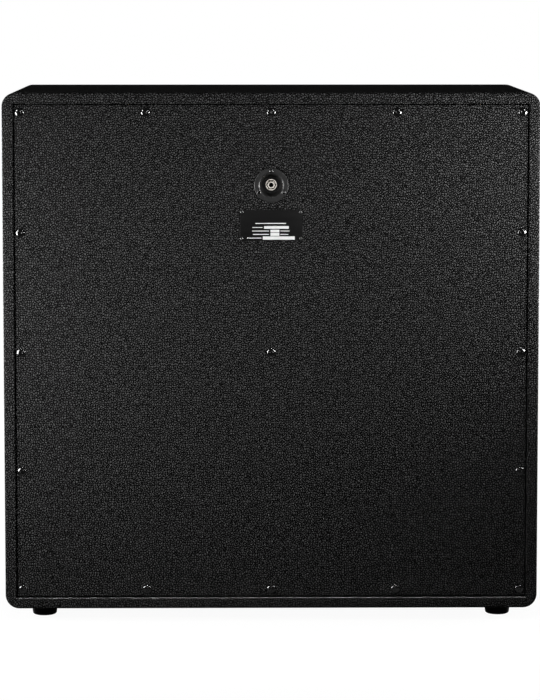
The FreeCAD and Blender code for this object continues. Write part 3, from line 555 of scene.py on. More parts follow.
def wound(name, dark, light, pitch):
    """Wire wound side by side along Y, with painted shade between its turns and a painted highlight on their
    crowns.
    """
    patch, rough = pitch * 4, (0.2, 0.4)
    finish, tree, shader, where = start_finish(name, metal=1.0)
    turns = bands(tree, where, pitch, "Y")
    # The colour follows each turn's hump: painted shade between turns, painted highlight on the crowns
    tree.links.new(shades(tree, turns, dark, light), shader.inputs["Base Color"])
    tree.links.new(between(tree, noise(tree, where, patch), *rough), shader.inputs["Roughness"])
    relief(tree, shader, turns, pitch / 2)
    return finish


def grille_weave():
    """Cloth of the grille."""
    look = bpy.context.scene.cabinet_cloth
    return woven("grille_weave", look.dark, look.light, look.pitch, (0.75, 0.95), 0.5 * MM)


def plate_print():
    """Paint of the plate's blank fields, with patches a little darker from wear."""
    white = bpy.context.scene.cabinet_hardware.print_white
    worn_share = 0.94
    worn_print_and_thread_shade = [worn_share * part for part in white[:3]]
    return mottled("plate_print", (*worn_print_and_thread_shade, 1.0), white, (0.5, 0.6), 0.8 * MM, 0.02 * MM)


# The finish of each slot: a mottled one has its shades, limits of roughness, patch, relief and stretch
FINISHES = {
    "black_vinyl": pebbled_vinyl,
    "grille_black": grille_weave,
    "plate_print": plate_print,
    # A paler, glossier vinyl given only to the upward faces of the lower lips: a painted highlight line
    "lip_highlight_vinyl": lambda: mottled(
        "lip_highlight_vinyl", grey(0.025), grey(0.035), (0.14, 0.22), 1.2 * MM, 0.02 * MM, (6, 1, 6)),
    "ply": lambda: mottled(
        "birch_ply", (0.50, 0.34, 0.19, 1), (0.66, 0.49, 0.31, 1), (0.55, 0.75), 1.2 * MM, 0.15 * MM,
        (14, 1, 1)),
    "batten": lambda: mottled(
        "planed_softwood", (0.55, 0.36, 0.18, 1), (0.76, 0.58, 0.36, 1), (0.5, 0.7), 2 * MM, 0.15 * MM,
        (1, 1, 12)),
    "black_screw": lambda: mottled(
        "black_screw", grey(0.16), grey(0.22), (0.1, 0.16), 1 * MM, 0.01 * MM, metal=1.0),
    "zinc_steel": lambda: mottled(
        "zinc_plated_steel", grey(0.52), grey(0.64), (0.24, 0.38), 0.8 * MM, 0.02 * MM, metal=1.0),
    "pin_steel": lambda: mottled(
        "pin_steel", grey(0.2), grey(0.28), (0.24, 0.36), 0.6 * MM, 0.02 * MM, metal=1.0),
    "black_rubber": lambda: mottled(
        "black_rubber", grey(0.006), grey(0.011), (0.6, 0.8), 0.7 * MM, 0.05 * MM, specular=0.3),
    "cup_plastic": lambda: mottled(
        "moulded_black_plastic", grey(0.012), grey(0.018), (0.34, 0.42), 0.6 * MM, 0.02 * MM, specular=0.8),
    "nickel": lambda: mottled(
        "nickel_plate", (0.62, 0.58, 0.52, 1), (0.74, 0.70, 0.64, 1), (0.14, 0.26), 0.9 * MM, 0.02 * MM,
        metal=1.0),
    "phenolic": lambda: mottled(
        "brown_phenolic", (0.07, 0.03, 0.012, 1), (0.12, 0.05, 0.02, 1), (0.4, 0.55), 0.8 * MM, 0.03 * MM),
    "spring_bronze": lambda: mottled(
        "spring_bronze", (0.55, 0.33, 0.14, 1), (0.68, 0.45, 0.22, 1), (0.2, 0.35), 0.8 * MM, 0.01 * MM,
        metal=1.0),
    "plate_black": lambda: mottled(
        "black_plate", grey(0.004), grey(0.007), (0.34, 0.46), 0.8 * MM, 0.01 * MM, (8, 1, 1),
        specular=0.25),
    "hook_tape": lambda: mottled(
        "hook_tape", grey(0.008), grey(0.03), (0.85, 0.98), 0.7 * MM, 0.5 * MM),
    "black_steel": lambda: mottled(
        "powder_coated_steel", grey(0.008), grey(0.012), (0.36, 0.5), 1.1 * MM, 0.05 * MM, specular=0.45),
    "basket_grey": lambda: mottled(
        "grey_paint", grey(0.08), grey(0.10), (0.4, 0.5), 1.2 * MM, 0.04 * MM),
    "ferrite": lambda: mottled(
        "ferrite", grey(0.025), grey(0.045), (0.5, 0.7), 0.9 * MM, 0.08 * MM),
    "cone_paper": lambda: mottled(
        "pulp_cone", grey(0.016), grey(0.034), (0.8, 0.95), 1.0 * MM, 0.15 * MM),
    "copper_wire": lambda: wound("copper_winding", (0.45, 0.18, 0.08, 1), (0.78, 0.36, 0.19, 1), 0.4 * MM),
    "doped_cloth": lambda: woven("doped_cloth", grey(0.01), grey(0.03), 0.9 * MM, (0.5, 0.7), 0.2 * MM),
    "spider_cloth": lambda: woven(
        "spider_cloth", (0.30, 0.15, 0.05, 1), (0.52, 0.30, 0.11, 1), 0.8 * MM, (0.7, 0.9), 0.2 * MM),
    "cable_black": lambda: mottled(
        "cable_jacket", grey(0.009), grey(0.014), (0.4, 0.55), 1.5 * MM, 0.03 * MM),
}


@functools.cache
def finish_for(slot):
    """The material of one slot, made once."""
    return FINISHES[slot]()


# Covering of the box


def round_lip(centre, half_x, half_z, sign, radius):
    """Turns the selected inner face of an end in over a rounded lip, in small steps."""
    for step in range(1, ROUND_STEPS + 1):
        before, after = [QUARTER_TURN * count / ROUND_STEPS for count in (step - 1, step)]
        inwards = [radius * math.sin(turn) for turn in (before, after)]
        sunk = radius * (math.cos(before) - math.cos(after))
        extrude(0, -sign * sunk, 0)
        resize(centre, (half_x - inwards[1]) / (half_x - inwards[0]), 1,
               (half_z - inwards[1]) / (half_z - inwards[0]))


def cover_box():
    """Vinyl wrapped round the box, over its rounded edges and into both open ends."""
    look = bpy.context.scene.cabinet_cover
    low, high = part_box("cabinet_vinyl")
    centre = (low + high) / 2
    lip_x = -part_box("left_side_board")[1].x - look.sheet + look.lip_radius
    lip_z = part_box("top_board")[0].z - look.sheet + look.lip_radius - centre.z
    stops = {1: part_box("rear_cleats")[1].y + look.sheet, -1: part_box("front_baffle")[0].y - look.sheet}
    square_on, upwards = 0.999, 0.1
    piece = block("cabinet_cover", low, high)
    with editing(piece):
        pick_edges(piece, lambda a, b: abs(a.y - b.y) > high.y)
        round_edges(look.corner_radius, steps=12)
        pick_edges(piece, lambda a, b: abs(a.y - b.y) < TOUCH)
        round_edges(look.edge_radius)
        for sign, stop in stops.items():
            end = sign * high.y
            pick_faces(piece, lambda co, normal: normal.y * sign > square_on)
            bpy.ops.mesh.inset(thickness=high.x - look.edge_radius - lip_x)
            corners = [Vector((x * lip_x, end, centre.z + z * lip_z)) for x in (-1, 1) for z in (-1, 1)]
            for corner in corners:
                pick_verts(piece, lambda co: (co - corner).length < look.corner_radius / 3)
                bpy.context.scene.cursor.location = corner
                bpy.ops.mesh.merge(type="CURSOR")
            pick_faces(piece, lambda co, normal: (co - Vector((0, end, centre.z))).length < TOUCH)
            round_lip(centre, lip_x, lip_z, sign, look.lip_radius)
            extrude(0, stop - (end - sign * look.lip_radius), 0)
            flap = 1 - MM / (lip_x - look.lip_radius)
            extrude(0, 0, 0)
            resize(centre, flap, 1, flap)
            bpy.ops.mesh.delete(type="ONLY_FACE")
        open_for_handles(piece, high.x)
        face_outwards()
    thicken(piece, look.sheet)
    lay_grain(piece)
    settle(piece, "black_vinyl", stands_for=["cabinet_vinyl"])

    # The upward faces of the lower lips get a paler, glossier finish as a painted highlight line
    def on_lip_highlight(co, normal):
        inside = abs(co.x) < lip_x and 0 < centre.z - co.z < lip_z
        return inside and abs(co.y) > high.y - look.lip_radius and normal.z > upwards

    finish_part(piece, "lip_highlight_vinyl", on_lip_highlight)


def open_for_handles(piece, wall):
    """Cuts the two side openings that the handle dishes hang in."""
    size = bpy.context.scene.cabinet_hardware
    centre = middle("left_handle_dish")
    margin, sideways = 1.5 * MM, 0.99
    half_y, half_z = size.dish_length / 2 + margin, size.dish_height / 2 + margin
    planes = [((0, half_y, 0), (0, 1, 0)), ((0, -half_y, 0), (0, 1, 0)),
              ((0, 0, centre.z + half_z), (0, 0, 1)), ((0, 0, centre.z - half_z), (0, 0, 1))]
    for spot, normal in planes:
        pick_faces(piece, lambda co, facing: abs(facing.x) > sideways and abs(abs(co.x) - wall) < TOUCH)
        bpy.ops.mesh.bisect(plane_co=spot, plane_no=normal)
    pick_faces(piece, lambda co, facing: abs(facing.x) > sideways and abs(co.y) < half_y
               and abs(co.z - centre.z) < half_z)
    bpy.ops.mesh.delete(type="FACE")


class CABINET_OT_cover_box(bpy.types.Operator):
    """Wrap the box in vinyl"""

    bl_idname = "cabinet.cover_box"
    bl_label = "Cover the box"

    def execute(self, context):
        cover_box()
        return {"FINISHED"}


# Rear panel, its covering and its screws


def rear_screw_grid():
    """Columns and rows of the rear panel's screws."""
    low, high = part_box("rear_panel_screws")
    head = bpy.context.scene.cabinet_hardware.rear_head
    across, centre_z, up = high.x - head, (low.z + high.z) / 2, (high.z - low.z) / 2 - head
    shares = [step / 2 for step in range(-2, 3)]
    return [across * share for share in shares], [centre_z + up * share for share in shares]


def rear_screw_places():
    """Screws all round the rim of the rear panel, and one in its middle."""
    columns, rows = rear_screw_grid()
    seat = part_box("rear_panel_vinyl")[1].y
    rim, centre = (0, len(columns) - 1), (len(columns) // 2, len(rows) // 2)
    return [
        Vector((x, seat, z)) for i, x in enumerate(columns) for j, z in enumerate(rows)
        if i in rim or j in rim or (i, j) == centre
    ]


def cover_rear_panel():
    """Vinyl on the rear panel, drawn in by every screw, with a hole for the jack cup."""
    look = bpy.context.scene.cabinet_cover
    low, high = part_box("rear_panel_vinyl")
    centre = Vector((0, high.y, (low.z + high.z) / 2))
    piece = sheet_facing("rear_panel_cover", Vector((0, 1, 0)), centre, (high.x - low.x, high.z - low.z))
    # Distances from a screw at which the sheet is cut, so that it can pucker
    near = [step * MM for step in (4, 6.5, 8, 9.5, 11, 13, 17, 26, 44)]
    hole = bpy.context.scene.cabinet_hardware.cup_mouth + 2 * MM
    through = 20 * MM
    with editing(piece):
        pick_all("EDGE")
        extrude_edges(0, low.y - high.y, 0)
        pick_edges(piece, lambda a, b: min(a.y, b.y) > high.y - TOUCH)
        round_edges(look.panel_edge, steps=4)
        for axis, lines, half in zip("XZ", rear_screw_grid(), (high.x, high.z - centre.z)):
            offset = centre.z if axis == "Z" else 0
            spots = [line + sign * step for line in lines for step in (0, *near) for sign in (-1, 1)]
            cut(axis, *[spot for spot in set(spots) if abs(spot - offset) < half - look.panel_edge - MM])
        for screw in rear_screw_places():
            draw_in(piece, screw, look)
        face_outwards()
    thicken(piece, look.sheet)
    cup = middle("jack_cup")
    carve(piece, pillar("cup_hole", Vector((cup.x, high.y, cup.z)), hole, through, sides=64))
    lay_grain(piece)
    return settle(piece, "black_vinyl", stands_for=["rear_panel_vinyl"])


def draw_in(piece, screw, look):
    """Draws the vinyl in under a screw head and throws up a ring round it."""
    pressed, press_reach = 5 * MM, 7 * MM
    ring_inside, ring_outside, ring_reach = 8 * MM, 10.5 * MM, 4 * MM
    soft = {"use_proportional_edit": True, "proportional_edit_falloff": "SMOOTH"}

    def reach(co):
        on_face = co.y > screw.y - look.dimple * 2
        return math.hypot(co.x - screw.x, co.z - screw.z) if on_face else math.inf

    pick_verts(piece, lambda co: reach(co) < pressed)
    bpy.ops.transform.translate(value=(0, -look.dimple, 0), proportional_size=press_reach, **soft)
    pick_verts(piece, lambda co: ring_inside < reach(co) < ring_outside)
    bpy.ops.transform.translate(value=(0, look.pucker, 0), proportional_size=ring_reach, **soft)


def cross_cutter(height, reach, width, depth):
    """A tapered cross that cuts the driver recess of a screw, with its tip down along Y."""
    taper = 0.5
    bars = []
    for half_x, half_z in ((reach, width / 2), (width / 2, reach)):
        bar = block("recess_bar", (-half_x, height - depth, -half_z), (half_x, height + depth, half_z))
        with editing(bar):
            pick_faces(bar, lambda co, normal: normal.y < -0.9)
            resize((0, height - depth, 0), taper, 1, taper)
        bars.append(bar)
    apply_modifier(bars[0], "BOOLEAN", object=bars[1], operation="UNION", solver="EXACT")
    bpy.data.objects.remove(bars[1])
    return bars[0]


def domed_screw(name, head, height, shank, depth, recess=True, sunk=0.3 * MM):
    """A domed screw or pin that stands on the plane y = 0 and points along -Y."""
    skirt, dome_steps = height * 0.12, 8
    recess_reach, recess_width, recess_depth = head * 0.62, head * 0.24, height * 0.62
    dome = [(head * math.sin(turn), skirt + (height - skirt) * math.cos(turn))
            for turn in [QUARTER_TURN * step / dome_steps for step in range(dome_steps + 1)]]
    shaft = [(head, -sunk), (shank, -sunk), (shank, shank - depth), (0, -depth)]
    piece = turned(name, dome + shaft, steps=40)
    if recess:
        carve(piece, cross_cutter(height, recess_reach, recess_width, recess_depth))
    return piece


def rear_screws():
    """Black domed screws, each stopped at its own angle."""
    size = bpy.context.scene.cabinet_hardware
    shank = 2.1 * MM
    low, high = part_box("rear_panel_screws")
    places = rear_screw_places()
    chance = random.Random(17)
    turns = [(0, chance.uniform(0, QUARTER_TURN), 0) for spot in places]
    seat = places[0].y
    screw = domed_screw("rear_screw", size.rear_head, high.y - seat, shank, seat - low.y)
    return settle(repeat("rear_screws", screw, places, turns), "black_screw",
                  stands_for=["rear_panel_screws"])


class CABINET_OT_cover_rear_panel(bpy.types.Operator):
    """Cover the rear panel with vinyl that its screws draw in"""

    bl_idname = "cabinet.cover_rear_panel"
    bl_label = "Cover the rear panel"

    def execute(self, context):
        cover_rear_panel()
        return {"FINISHED"}


class CABINET_OT_rear_screws(bpy.types.Operator):
    """Drive the screws of the rear panel"""

    bl_idname = "cabinet.rear_screws"
    bl_label = "Drive the rear screws"

    def execute(self, context):
        rear_screws()
        return {"FINISHED"}


# Jack and its cup


def jack_cup():
    """Moulded cup with a rounded mouth, tapered wall and a ring on its floor."""
    size = bpy.context.scene.cabinet_hardware
    low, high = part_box("jack_cup")
    face, seat, floor = high.y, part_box("rear_panel_vinyl")[1].y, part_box("jack_washer")[0].y
    flange, bore, wall = high.x, 4.9 * MM, 1.5 * MM
    rim_round, mouth_round, floor_round = 1.2 * MM, 2.4 * MM, 0.8 * MM
    ring = [size.cup_floor - step * MM for step in (1.6, 2.2, 3.0, 3.6)]
    raised = floor + 0.5 * MM
    outline = [
        (flange, seat), (flange, face, rim_round), (size.cup_mouth, face, mouth_round),
        (size.cup_floor, floor, floor_round), (ring[0], floor), (ring[1], raised), (ring[2], raised),
        (ring[3], floor), (bore, floor), (bore, low.y), (size.cup_floor + wall, low.y),
        (size.cup_mouth + wall, seat), (flange, seat),
    ]
    piece = turned("jack_cup_shell", outline, steps=96)
    return settle(repeat("jack_cup_shell", piece, [middle("jack_cup") * DROP_Y]),
                  "cup_plastic", stands_for=["jack_cup"])


def jack_cup_screws():
    """Three small screws in the rim of the jack cup."""
    head = bpy.context.scene.cabinet_hardware.cup_head
    count, sunk, height, shank, turn_step = 3, 0.5 * MM, 1.1 * MM, 1.3 * MM, 0.6
    centre = middle("jack_cup")
    low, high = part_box("jack_cup_screws")
    circle = high.z - head - centre.z
    places = [
        Vector((centre.x + circle * math.cos(turn), high.y - sunk, centre.z + circle * math.sin(turn)))
        for turn in [QUARTER_TURN + FULL_TURN * step / count for step in range(count)]]
    screw = domed_screw("jack_cup_screw", head, height, shank, high.y - low.y - sunk)
    turns = [(0, step * turn_step, 0) for step in range(count)]
    return settle(repeat("jack_cup_small_screws", screw, places, turns), "black_screw",
                  stands_for=["jack_cup_screws"])


def jack_nut():
    """Hexagon nut with eased corners."""
    eased, bore, through = 0.45 * MM, 4.85 * MM, 10 * MM
    low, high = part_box("jack_nut")
    centre = (low + high) / 2
    piece = pillar("jack_hex_nut", centre, high.x - centre.x, high.y - low.y, sides=6, turn=math.pi / 6)
    with editing(piece):
        pick_all("EDGE")
        round_edges(eased, steps=3)
    carve(piece, pillar("nut_bore", centre, bore, through, sides=48))
    return settle(piece, "nickel", stands_for=["jack_nut"])


class CABINET_OT_jack(bpy.types.Operator):
    """Set the jack cup, its screws and the jack's nut"""

    bl_idname = "cabinet.jack"
    bl_label = "Set the jack"

    def execute(self, context):
        jack_cup()
        jack_cup_screws()
        jack_nut()
        return {"FINISHED"}


# Riveted plate


# Blank fields and plain bars on the plate, in millimetres from its middle: left, right, top, bottom
PLATE_FIELDS = [(-10.3, 24.9, -1.0, -4.9), (-1.2, 11.5, -6.2, -9.9), (-1.2, 11.5, -10.6, -15.0),
                (-12.1, 33.2, -15.7, -20.4)]
PLATE_BARS = [(-22.6, 21.1, 3.4, 2.2), (-26.8, -12.5, -2.4, -3.5), (-27.4, -3.2, -7.5, -8.6),
              (12.8, 26.1, -7.5, -8.6), (-26.1, -3.2, -12.3, -13.4), (12.8, 24.2, -12.3, -13.4),
              (-34.4, -14.0, -17.5, -18.6)]


def nameplate():
    """Black plate with rounded corners and blank printed fields."""
    corner_round, edge_round, field_round = 1.5 * MM, 0.25 * MM, 0.3 * MM
    low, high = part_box("nameplate")
    centre = (low + high) / 2
    print_back, print_face = high.y - 0.02 * MM, high.y + 0.06 * MM
    piece = block("nameplate_body", low, high)
    with editing(piece):
        pick_edges(piece, lambda a, b: abs(a.y - b.y) > TOUCH)
        round_edges(corner_round)
        pick_edges(piece, lambda a, b: min(a.y, b.y) > high.y - TOUCH)
        round_edges(edge_round, steps=2)
    settle(piece, "plate_black", stands_for=["nameplate"])
    fields = []
    for left, right, top, bottom in PLATE_FIELDS + PLATE_BARS:
        corner = centre + Vector((-right, 0, bottom)) * MM
        other = centre + Vector((-left, 0, top)) * MM
        field = block("plate_field", (corner.x, print_back, corner.z), (other.x, print_face, other.z))
        with editing(field):
            pick_edges(field, lambda a, b: abs(a.y - b.y) > TOUCH / 2)
            round_edges(field_round, steps=2)
        fields.append(field)
    only(*fields)
    bpy.ops.object.join()
    settle(named("nameplate_print"), "plate_print")


def nameplate_pins():
    """Four drive pins at the corners of the plate."""
    head = bpy.context.scene.cabinet_hardware.pin_head
    shank = 0.8 * MM
    low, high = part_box("nameplate_pins")
    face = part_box("nameplate")[1].y
    places = [(x, face, z) for x in (low.x + head, high.x - head) for z in (low.z + head, high.z - head)]
    pin = domed_screw("nameplate_pin", head, high.y - face, shank, face - low.y, recess=False, sunk=0)
    return settle(repeat("nameplate_drive_pins", pin, places), "pin_steel", stands_for=["nameplate_pins"])


class CABINET_OT_nameplate(bpy.types.Operator):
    """Rivet the blank plate to the rear panel"""

    bl_idname = "cabinet.nameplate"
    bl_label = "Rivet the plate"

    def execute(self, context):
        nameplate()
        nameplate_pins()
        return {"FINISHED"}


# Feet


def feet():
    """Rubber feet with rounded lower edges and a bore for the screw."""
    size = bpy.context.scene.cabinet_hardware
    low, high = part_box("rubber_feet")
    bore, shank = 8 * MM, 2.6 * MM
    top_round, bore_round = 0.5 * MM, 0.6 * MM
    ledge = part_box("foot_washers")[1].z
    outline = [
        (shank, high.z), (size.foot_top, high.z, top_round), (size.foot_bottom, low.z, size.foot_edge),
        (bore, low.z, bore_round), (bore, ledge), (shank, ledge), (shank, high.z),
    ]
    foot = turned("rubber_foot", outline, steps=72, axis="Z")
    across, along = high.x - size.foot_top, high.y - size.foot_top
    places = [(x * across, y * along, 0) for x in (-1, 1) for y in (-1, 1)]
    return settle(repeat("rubber_foot_set", foot, places), "black_rubber", stands_for=["rubber_feet"])


class CABINET_OT_feet(bpy.types.Operator):
    """Fit the rubber feet"""

    bl_idname = "cabinet.feet"
    bl_label = "Fit the feet"

    def execute(self, context):
        feet()
        return {"FINISHED"}


# Grille cloth


def grille_cloth():
    """Woven cloth stretched over its frame and folded back along the sides."""
    fold = bpy.context.scene.cabinet_cloth.fold
    strips, margin = 24, 2 * fold
    low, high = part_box("grille_cloth")
    frame_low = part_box("grille_frame")[0]
    thickness = frame_low.y - low.y
    centre = Vector((0, low.y, (low.z + high.z) / 2))
    width, height, turned_back = high.x - low.x, high.z - low.z, high.y - low.y
    piece = sheet_facing("grille_cloth_sheet", Vector((0, -1, 0)), centre, (width, height))
    with editing(piece):
        pick_all("EDGE")
        extrude_edges(0, turned_back, 0)
        pick_edges(piece, lambda a, b: max(a.y, b.y) < low.y + TOUCH)
        round_edges(fold)
        spots = [step / strips - 0.5 for step in range(1, strips)]
        cut("X", *[spot * (width - 2 * margin) for spot in spots])
        cut("Z", *[centre.z + spot * (height - 2 * margin) for spot in spots])
        face_outwards()
    thicken(piece, thickness)
    settle(piece, "grille_black", stands_for=["grille_cloth"])


class CABINET_OT_grille_cloth(bpy.types.Operator):
    """Stretch the cloth over the grille frame"""

    bl_idname = "cabinet.grille_cloth"
    bl_label = "Stretch the grille cloth"

    def execute(self, context):
        grille_cloth()
        return {"FINISHED"}


# Side handles


# Distance from the wall of a handle dish to the raised field on its floor
FIELD_INSET = 8 * MM


def handle_dish(name, side):
    """Pressed dish with a rolled flange, rounded corners and a raised field on its floor."""
    size = bpy.context.scene.cabinet_hardware
    wall, roll, corner, lift = 1.5 * MM, 2 * MM, 12 * MM, 1.6 * MM
    floor_draft, field_draft = (0.965, 0.95), (0.97, 0.95)
    field_round, mouth_round, floor_round = 0.7 * MM, 1.2 * MM, 5 * MM
    low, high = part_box(name + "_handle_dish")
    face = high.x if side > 0 else low.x
    depth = high.x - low.x - wall
    centre = Vector((face, 0, (low.z + high.z) / 2))
    floor = face - side * depth
    raised = floor + side * lift
    opening = (size.dish_length, size.dish_height)
    flange = ((high.y - low.y) / size.dish_length, (high.z - low.z) / size.dish_height)
    piece = sheet_facing(name + "_handle_pan", Vector((side, 0, 0)), centre, opening)
    with editing(piece):
        pick_all("VERT")
        bpy.ops.mesh.bevel(offset=corner, segments=6, affect="VERTICES")
        pick_all("EDGE")
        extrude_edges(0, 0, 0)
        resize(centre, 1, *flange)
        extrude_edges(-side * roll, 0, 0)
        pick_faces(piece, lambda co, normal: (co - centre).length < TOUCH)
        extrude(-side * depth, 0, 0)
        resize(centre, 1, *floor_draft)
        bpy.ops.mesh.inset(thickness=FIELD_INSET)
        extrude(side * lift, 0, 0)
        resize(centre, 1, *field_draft)
        for level, radius in ((raised, field_round), (face, mouth_round), (floor, floor_round)):
            pick_creases(piece, lambda a, b: max(abs(a.x - level), abs(b.x - level)) < TOUCH
                         and (level != floor or on_wall(a, b, centre, size)))
            round_edges(radius)
        face_outwards()
    thicken(piece, wall)
    return settle(piece, "black_steel", stands_for=[name + "_handle_dish"])


def on_wall(a, b, centre, size):
    """Whether an edge of a dish lies on its wall, rather than on the raised field of its floor."""
    limits = size.dish_length / 2 - FIELD_INSET, size.dish_height / 2 - FIELD_INSET
    return all(abs(co.y) > limits[0] or abs(co.z - centre.z) > limits[1] for co in (a, b))


def handle_grip(name):
    """Rubber sleeve with shallow grooves round it."""
    bore, end_round, end_margin = 4.05 * MM, 2 * MM, 6 * MM
    groove, groove_foot, groove_mouth, count = 0.7 * MM, 0.6 * MM, 1.2 * MM, 9
    low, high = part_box(name + "_handle_grip")
    centre = (low + high) / 2
    radius, half = (high.x - low.x) / 2, (high.y - low.y) / 2
    pitch = (2 * half - 2 * end_margin) / count
    outline = [(bore, -half), (radius, -half, end_round)]
    for step in range(count + 1):
        spot = -half + end_margin + step * pitch
        outline += [(radius, spot - groove_mouth), (radius - groove, spot - groove_foot),
                    (radius - groove, spot + groove_foot), (radius, spot + groove_mouth)]
    outline += [(radius, half, end_round), (bore, half), (bore, -half)]
    piece = turned(name + "_handle_sleeve", outline, steps=48)
    return settle(repeat(name + "_handle_sleeve", piece, [centre]), "black_rubber",
                  body=name + "_handle", stands_for=[name + "_handle_grip"])


def handle_screws():
    """Four screws in the flange of each handle dish."""
    head = bpy.context.scene.cabinet_hardware.handle_head
    shank, depth, turn_step = 1.9 * MM, 14 * MM, 0.7
    low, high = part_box("handle_screws")
    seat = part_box("right_handle_dish")[1].x
    rows = [(y, z) for y in (low.y + head, high.y - head) for z in (low.z + head, high.z - head)]
    screw = domed_screw("handle_screw", head, high.x - seat, shank, depth, sunk=0)
    places = [(side * seat, y, z) for side in SIDES.values() for y, z in rows]
    turns = [(0, index * turn_step, -side * QUARTER_TURN)
             for side in SIDES.values() for index in range(len(rows))]
    return settle(repeat("handle_flange_screws", screw, places, turns), "black_screw",
                  stands_for=["handle_screws"])


class CABINET_OT_handles(bpy.types.Operator):
    """Fit the recessed side handles"""

    bl_idname = "cabinet.handles"
    bl_label = "Fit the handles"

    def execute(self, context):
        for name, side in SIDES.items():
            handle_dish(name, side)
            handle_grip(name)
        handle_screws()
        return {"FINISHED"}


# Speaker suspension


def pleated_ring(name, centre, outer, inner, waves, height, sheet, slot, node):
    """A pleated ring of cloth from its outer to its inner edge, each a radius and a place on Y."""
    steps_per_wave = 8
    steps = waves * steps_per_wave
    outline = []
    for step in range(steps + 1):
        share = step / steps
        radius, base = [start + (stop - start) * share for start, stop in zip(outer, inner)]
        outline.append((radius, base + height * math.sin(FULL_TURN * waves * share)))
    piece = repeat(name, turned(name, outline, steps=96), [centre * DROP_Y])
    thicken(piece, sheet)
    only(piece)
    bpy.ops.object.shade_smooth()
    piece.data.materials.append(finish_for(slot))
    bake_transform(piece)
    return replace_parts(piece, node)


def suspension(speaker):
    """Surround and spider of one speaker, fixed to its frame outside and to its cone inside."""
    sheet, rim_lift, cone_drop, cone_lap = 0.8 * MM, 1.6 * MM, 1.2 * MM, 1.5 * MM
    spider_drop, coil_gap = 0.7 * MM, 0.3 * MM
    body = "cone_" + speaker
    centre = middle(body)
    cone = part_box(body)
    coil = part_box("voice_coil_" + speaker)
    low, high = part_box("surround_" + speaker)
    pleated_ring(
        "surround_ring_" + speaker, centre, outer=(high.x - centre.x, low.y + rim_lift),
        inner=(cone[1].x - centre.x - cone_lap, high.y - cone_drop), waves=2, height=1.0 * MM,
        sheet=sheet, slot="doped_cloth", node="surround_" + speaker)
    low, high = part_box("spider_" + speaker)
    pleated_ring(
        "spider_disc_" + speaker, centre, outer=(high.x - centre.x, high.y - spider_drop),
        inner=(coil[1].x - centre.x + coil_gap, low.y + spider_drop), waves=5, height=0.6 * MM,
        sheet=sheet, slot="spider_cloth", node="spider_" + speaker)


class CABINET_OT_suspension(bpy.types.Operator):
    """Hang the cones in their surrounds and spiders"""

    bl_idname = "cabinet.suspension"
    bl_label = "Hang the cones"

    def execute(self, context):
        for speaker in SPEAKERS:
            suspension(speaker)
        return {"FINISHED"}


# Finishes of the construction that stays as it is


class CABINET_OT_finish_construction(bpy.types.Operator):
    """Give every piece of the construction its finish"""

    bl_idname = "cabinet.finish_construction"
    bl_label = "Finish the construction"

    def execute(self, context):
        for name, node in frame["nodes"].items():
            node.data.materials.clear()
            node.data.materials.append(finish_for(node_slots[name]))
        return {"FINISHED"}


# Stage


def whiteness(tree, stage):
    """How white the surround is: wholly to the eye and through glass, in part where gloss mirrors it."""
    path = add(tree, "ShaderNodeLightPath").outputs
    straight = add(tree, "ShaderNodeMath", {0: path["Is Camera Ray"], 1: path["Is Transmission Ray"]},
                   operation="MAXIMUM").outputs[0]
    return add(tree, "ShaderNodeMath", {0: path["Is Glossy Ray"], 1: stage.mirrored, 2: straight},
               operation="MULTIPLY_ADD", use_clamp=True).outputs[0]


def pale_floor(stage):
    """Floor that shows white to the eye and keeps the shadow."""
    width, near, far = 9, 0.3, 0.8
    only()
    bpy.ops.mesh.primitive_plane_add(size=width, location=(0, 0, 0))
    piece = named("floor")
    finish = bpy.data.materials.new("pale_floor")
    finish.use_nodes = True
    tree = finish.node_tree
    tree.nodes.remove(tree.nodes["Principled BSDF"])
    paint = add(tree, "ShaderNodeBsdfDiffuse", {"Color": stage.floor_grey})
    reach = add(tree, "ShaderNodeVectorMath", {0: add(tree, "ShaderNodeTexCoord").outputs["Object"]},
                operation="LENGTH").outputs["Value"]
    white = add(tree, "ShaderNodeMapRange", {
        "Value": reach, "From Min": near, "From Max": far, "To Min": stage.floor_white, "To Max": 1.0})
    glow = add(tree, "ShaderNodeMath", {0: whiteness(tree, stage), 1: white.outputs[0]},
               operation="MULTIPLY")
    shine = add(tree, "ShaderNodeEmission", {"Strength": glow.outputs[0]})
    both = add(tree, "ShaderNodeAddShader", {0: paint.outputs[0], 1: shine.outputs[0]})
    tree.links.new(both.outputs[0], tree.nodes["Material Output"].inputs["Surface"])
    piece.data.materials.append(finish)


def backdrop(stage):
    """White all round to the eye, in part to gloss, and a dim even light for everything else."""
    world = bpy.data.worlds.new("studio")
    world.use_nodes = True
    bpy.context.scene.world = world
    tree = world.node_tree
    dim = tree.nodes["Background"]
    dim.inputs["Color"].default_value = grey(1.0)
    dim.inputs["Strength"].default_value = stage.ambient
    white = add(tree, "ShaderNodeBackground", {"Color": grey(1.0), "Strength": 1.0})
    mixed = add(tree, "ShaderNodeMixShader", {
        0: whiteness(tree, stage), 1: dim.outputs[0], 2: white.outputs[0]})
    tree.links.new(mixed.outputs[0], tree.nodes["World Output"].inputs["Surface"])


def soft_lamp(name, spot, target, size, watts, spread=180):
    """A soft rectangular lamp turned towards a point, with its beam held to an angle."""
    only()
    bpy.ops.object.light_add(type="AREA", location=spot)
    lamp = bpy.context.object
    lamp.name = name
    lamp.rotation_euler = (Vector(target) - Vector(spot)).to_track_quat("-Z", "Y").to_euler()
    lamp.data.shape = "RECTANGLE"
    lamp.data.size, lamp.data.size_y = size
    lamp.data.energy = watts
    lamp.data.spread = math.radians(spread)
    lamp.visible_camera = False


